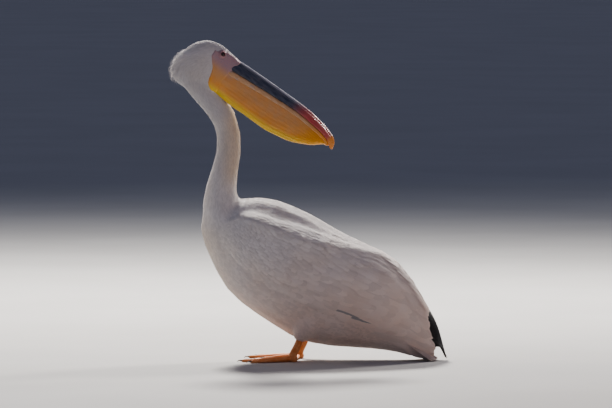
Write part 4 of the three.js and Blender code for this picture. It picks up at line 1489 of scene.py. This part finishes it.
def toe_point(toe, share, z):
    angle, reach = math.radians(toe[0]), toe[1] * share
    return np.array([math.sin(angle) * reach, -math.cos(angle) * reach, z])


def toe_mesh(toe):
    """A toe with knuckle pads and a row of scutes across its top."""
    _, length, thick = toe
    points = [toe_point(toe, share, z) for share, z in ((0, 10.4), (0.3, 7.6), (0.7, 5.3), (1, 3.6))]
    scutes = int(length / SCUTE)

    def knuckles(s):
        return thick * (1 - 0.45 * s) * (1 + 0.07 * np.cos(s * 4 * math.pi))

    girth = round_ends(knuckles, start=0.02, end=0.06, tip=0.5)
    rings = tube_rings(points, girth, girth, scutes * 6, sides=20, side=Z, ridges=0.07, ridge_count=scutes)
    return lofted("toe", rings)


def claw_mesh(toe):
    reach = 1 + CLAW / toe[1]
    points = [toe_point(toe, share, z) for share, z in ((0.95, 4.4), ((1 + reach) / 2, 5.2), (reach, 1.4))]
    taper = through((0, 3.0), (0.5, 2.3), (1, 0.5))
    return lofted("claw", tube_rings(points, taper, taper, steps=14, sides=14, side=Z))


def web_mesh(toe_a, toe_b):
    """The thin skin between two toes: hollowed at its front edge and rippled from the heel outwards."""
    rows, columns = 36, 30
    r, a = np.meshgrid(np.linspace(0, 1, rows), np.linspace(0, 1, columns), indexing="ij")
    start, end = toe_point(toe_a, 0.96, 0), toe_point(toe_b, 0.96, 0)
    parts = ((1 - a) ** 2, start), (2 * a * (1 - a), (start + end) * 0.41), (a**2, end)
    ground = sum((share * r)[..., None] * place for share, place in parts)
    ripple = 0.35 * np.sin(a * 38 + 2.0 * np.sin(r * 5)) * np.sin(math.pi * a) * r
    top = ground + Z * (2.0 + ripple + 0.5 * np.cos(2 * math.pi * a))[..., None]
    under = ground + Z * 0.15
    quads = grid_faces(rows, columns)
    half = rows * columns
    grid = np.arange(half).reshape(rows, columns)
    rim = np.concatenate([grid[0, :-1], grid[:-1, -1], grid[-1, :0:-1], grid[:0:-1, 0]])
    after = np.roll(rim, -1)
    wall = np.stack([rim, after, after + half, rim + half], -1)
    return mesh_from("web", [top, under], quads, quads[:, ::-1] + half, wall)


def add_leg_piece(mesh, name, material, *replaced):
    """Moves a mesh, built round the ankle of a left leg, to its place, and makes it a piece."""
    verts = np.maximum(vertex_places(mesh), [-np.inf, -np.inf, 0]) * [SIDES[name], 1, 1] * MM
    verts += [SIDES[name] * STANCE * MM, FOOT_Y[name] * MM + CAD_SHIFT, 0]
    move_vertices(mesh, verts)
    turn_outwards(mesh)
    add_piece(mesh, material, "leg_skin", *replaced)


def add_leg(name, leg_paint, claw_paint):
    """A webbed foot, its claws, and the scaled shank."""
    polar, turn = ball_angles(18, 26)
    joint = np.stack([11 * np.sin(polar) * np.cos(turn), 2 + 13 * np.sin(polar) * np.sin(turn),
                      np.minimum(8 + 12 * np.cos(polar), ANKLE)], -1)
    parts = [lofted("joint", joint), *map(toe_mesh, TOES), *map(web_mesh, TOES, TOES[1:])]
    add_leg_piece(joined("webbed_foot_" + name, parts), name, leg_paint, "foot_" + name)
    add_leg_piece(joined("claws_" + name, map(claw_mesh, TOES)), name, claw_paint)
    points = [(0, 0, ANKLE - 3), (0, 4, 24), (0, 12, 40), (0, 26, 72)]
    width = through((0, 9), (0.25, 7.4), (0.75, 7.2), (1, 7.4))
    depth = through((0, 12.5), (0.25, 10.4), (0.75, 10), (1, 10.4))
    wide, deep = (round_ends(size, start=0.01, end=0.01, tip=0.8) for size in (width, depth))
    rings = tube_rings(points, wide, deep, SHANK_SCUTES * 6, 28, ridges=0.035, ridge_count=SHANK_SCUTES)
    add_leg_piece(lofted("scaled_shank_" + name, rings), name, leg_paint, "shank_" + name)


# ---- everything together

PLUMAGE = {
    "fine": feather_material("fine_plumage", 0.35, 40.0, 0.12),
    "contour": feather_material("contour_plumage", 0.50, 110.0, 0.13),
    "covert": feather_material("covert_plumage", 0.58, 260.0, 0.13),
    "slate": dark_feather_material("slate_flight_feathers", (0.38, 0.355, 0.355), (0.54, 0.51, 0.50)),
    "black": dark_feather_material("black_flight_feathers", (0.010, 0.009, 0.010), (0.032, 0.029, 0.030)),
}

skin_object = make_skin()
skin = Skin(skin_object.data)
add_piece(skin_object, skin_material(), "plumage", *FLESH)

rng = np.random.default_rng(7)
dress_head()
dress_neck()
dress_crest()
dress_body()
for name, side in SIDES.items():
    dress_coverts(side, name)
    dress_scapulars(side, name)
    dress_secondaries(side, name)
    dress_primaries(side, name)
dress_rump()
dress_tail()

face_paint, eye_paint = face_material(), eye_material()
for name, side in HEAD_SIDES.items():
    add_face(side, name, face_paint)
    add_eyelids(side, name, face_paint)
    add_eyeball(side, name, eye_paint)

add_upper_bill()
add_lower_bill()
add_pouch()

leg_paint, claw_paint = leg_material(), claw_material()
for name in SIDES:
    add_leg(name, leg_paint, claw_paint)
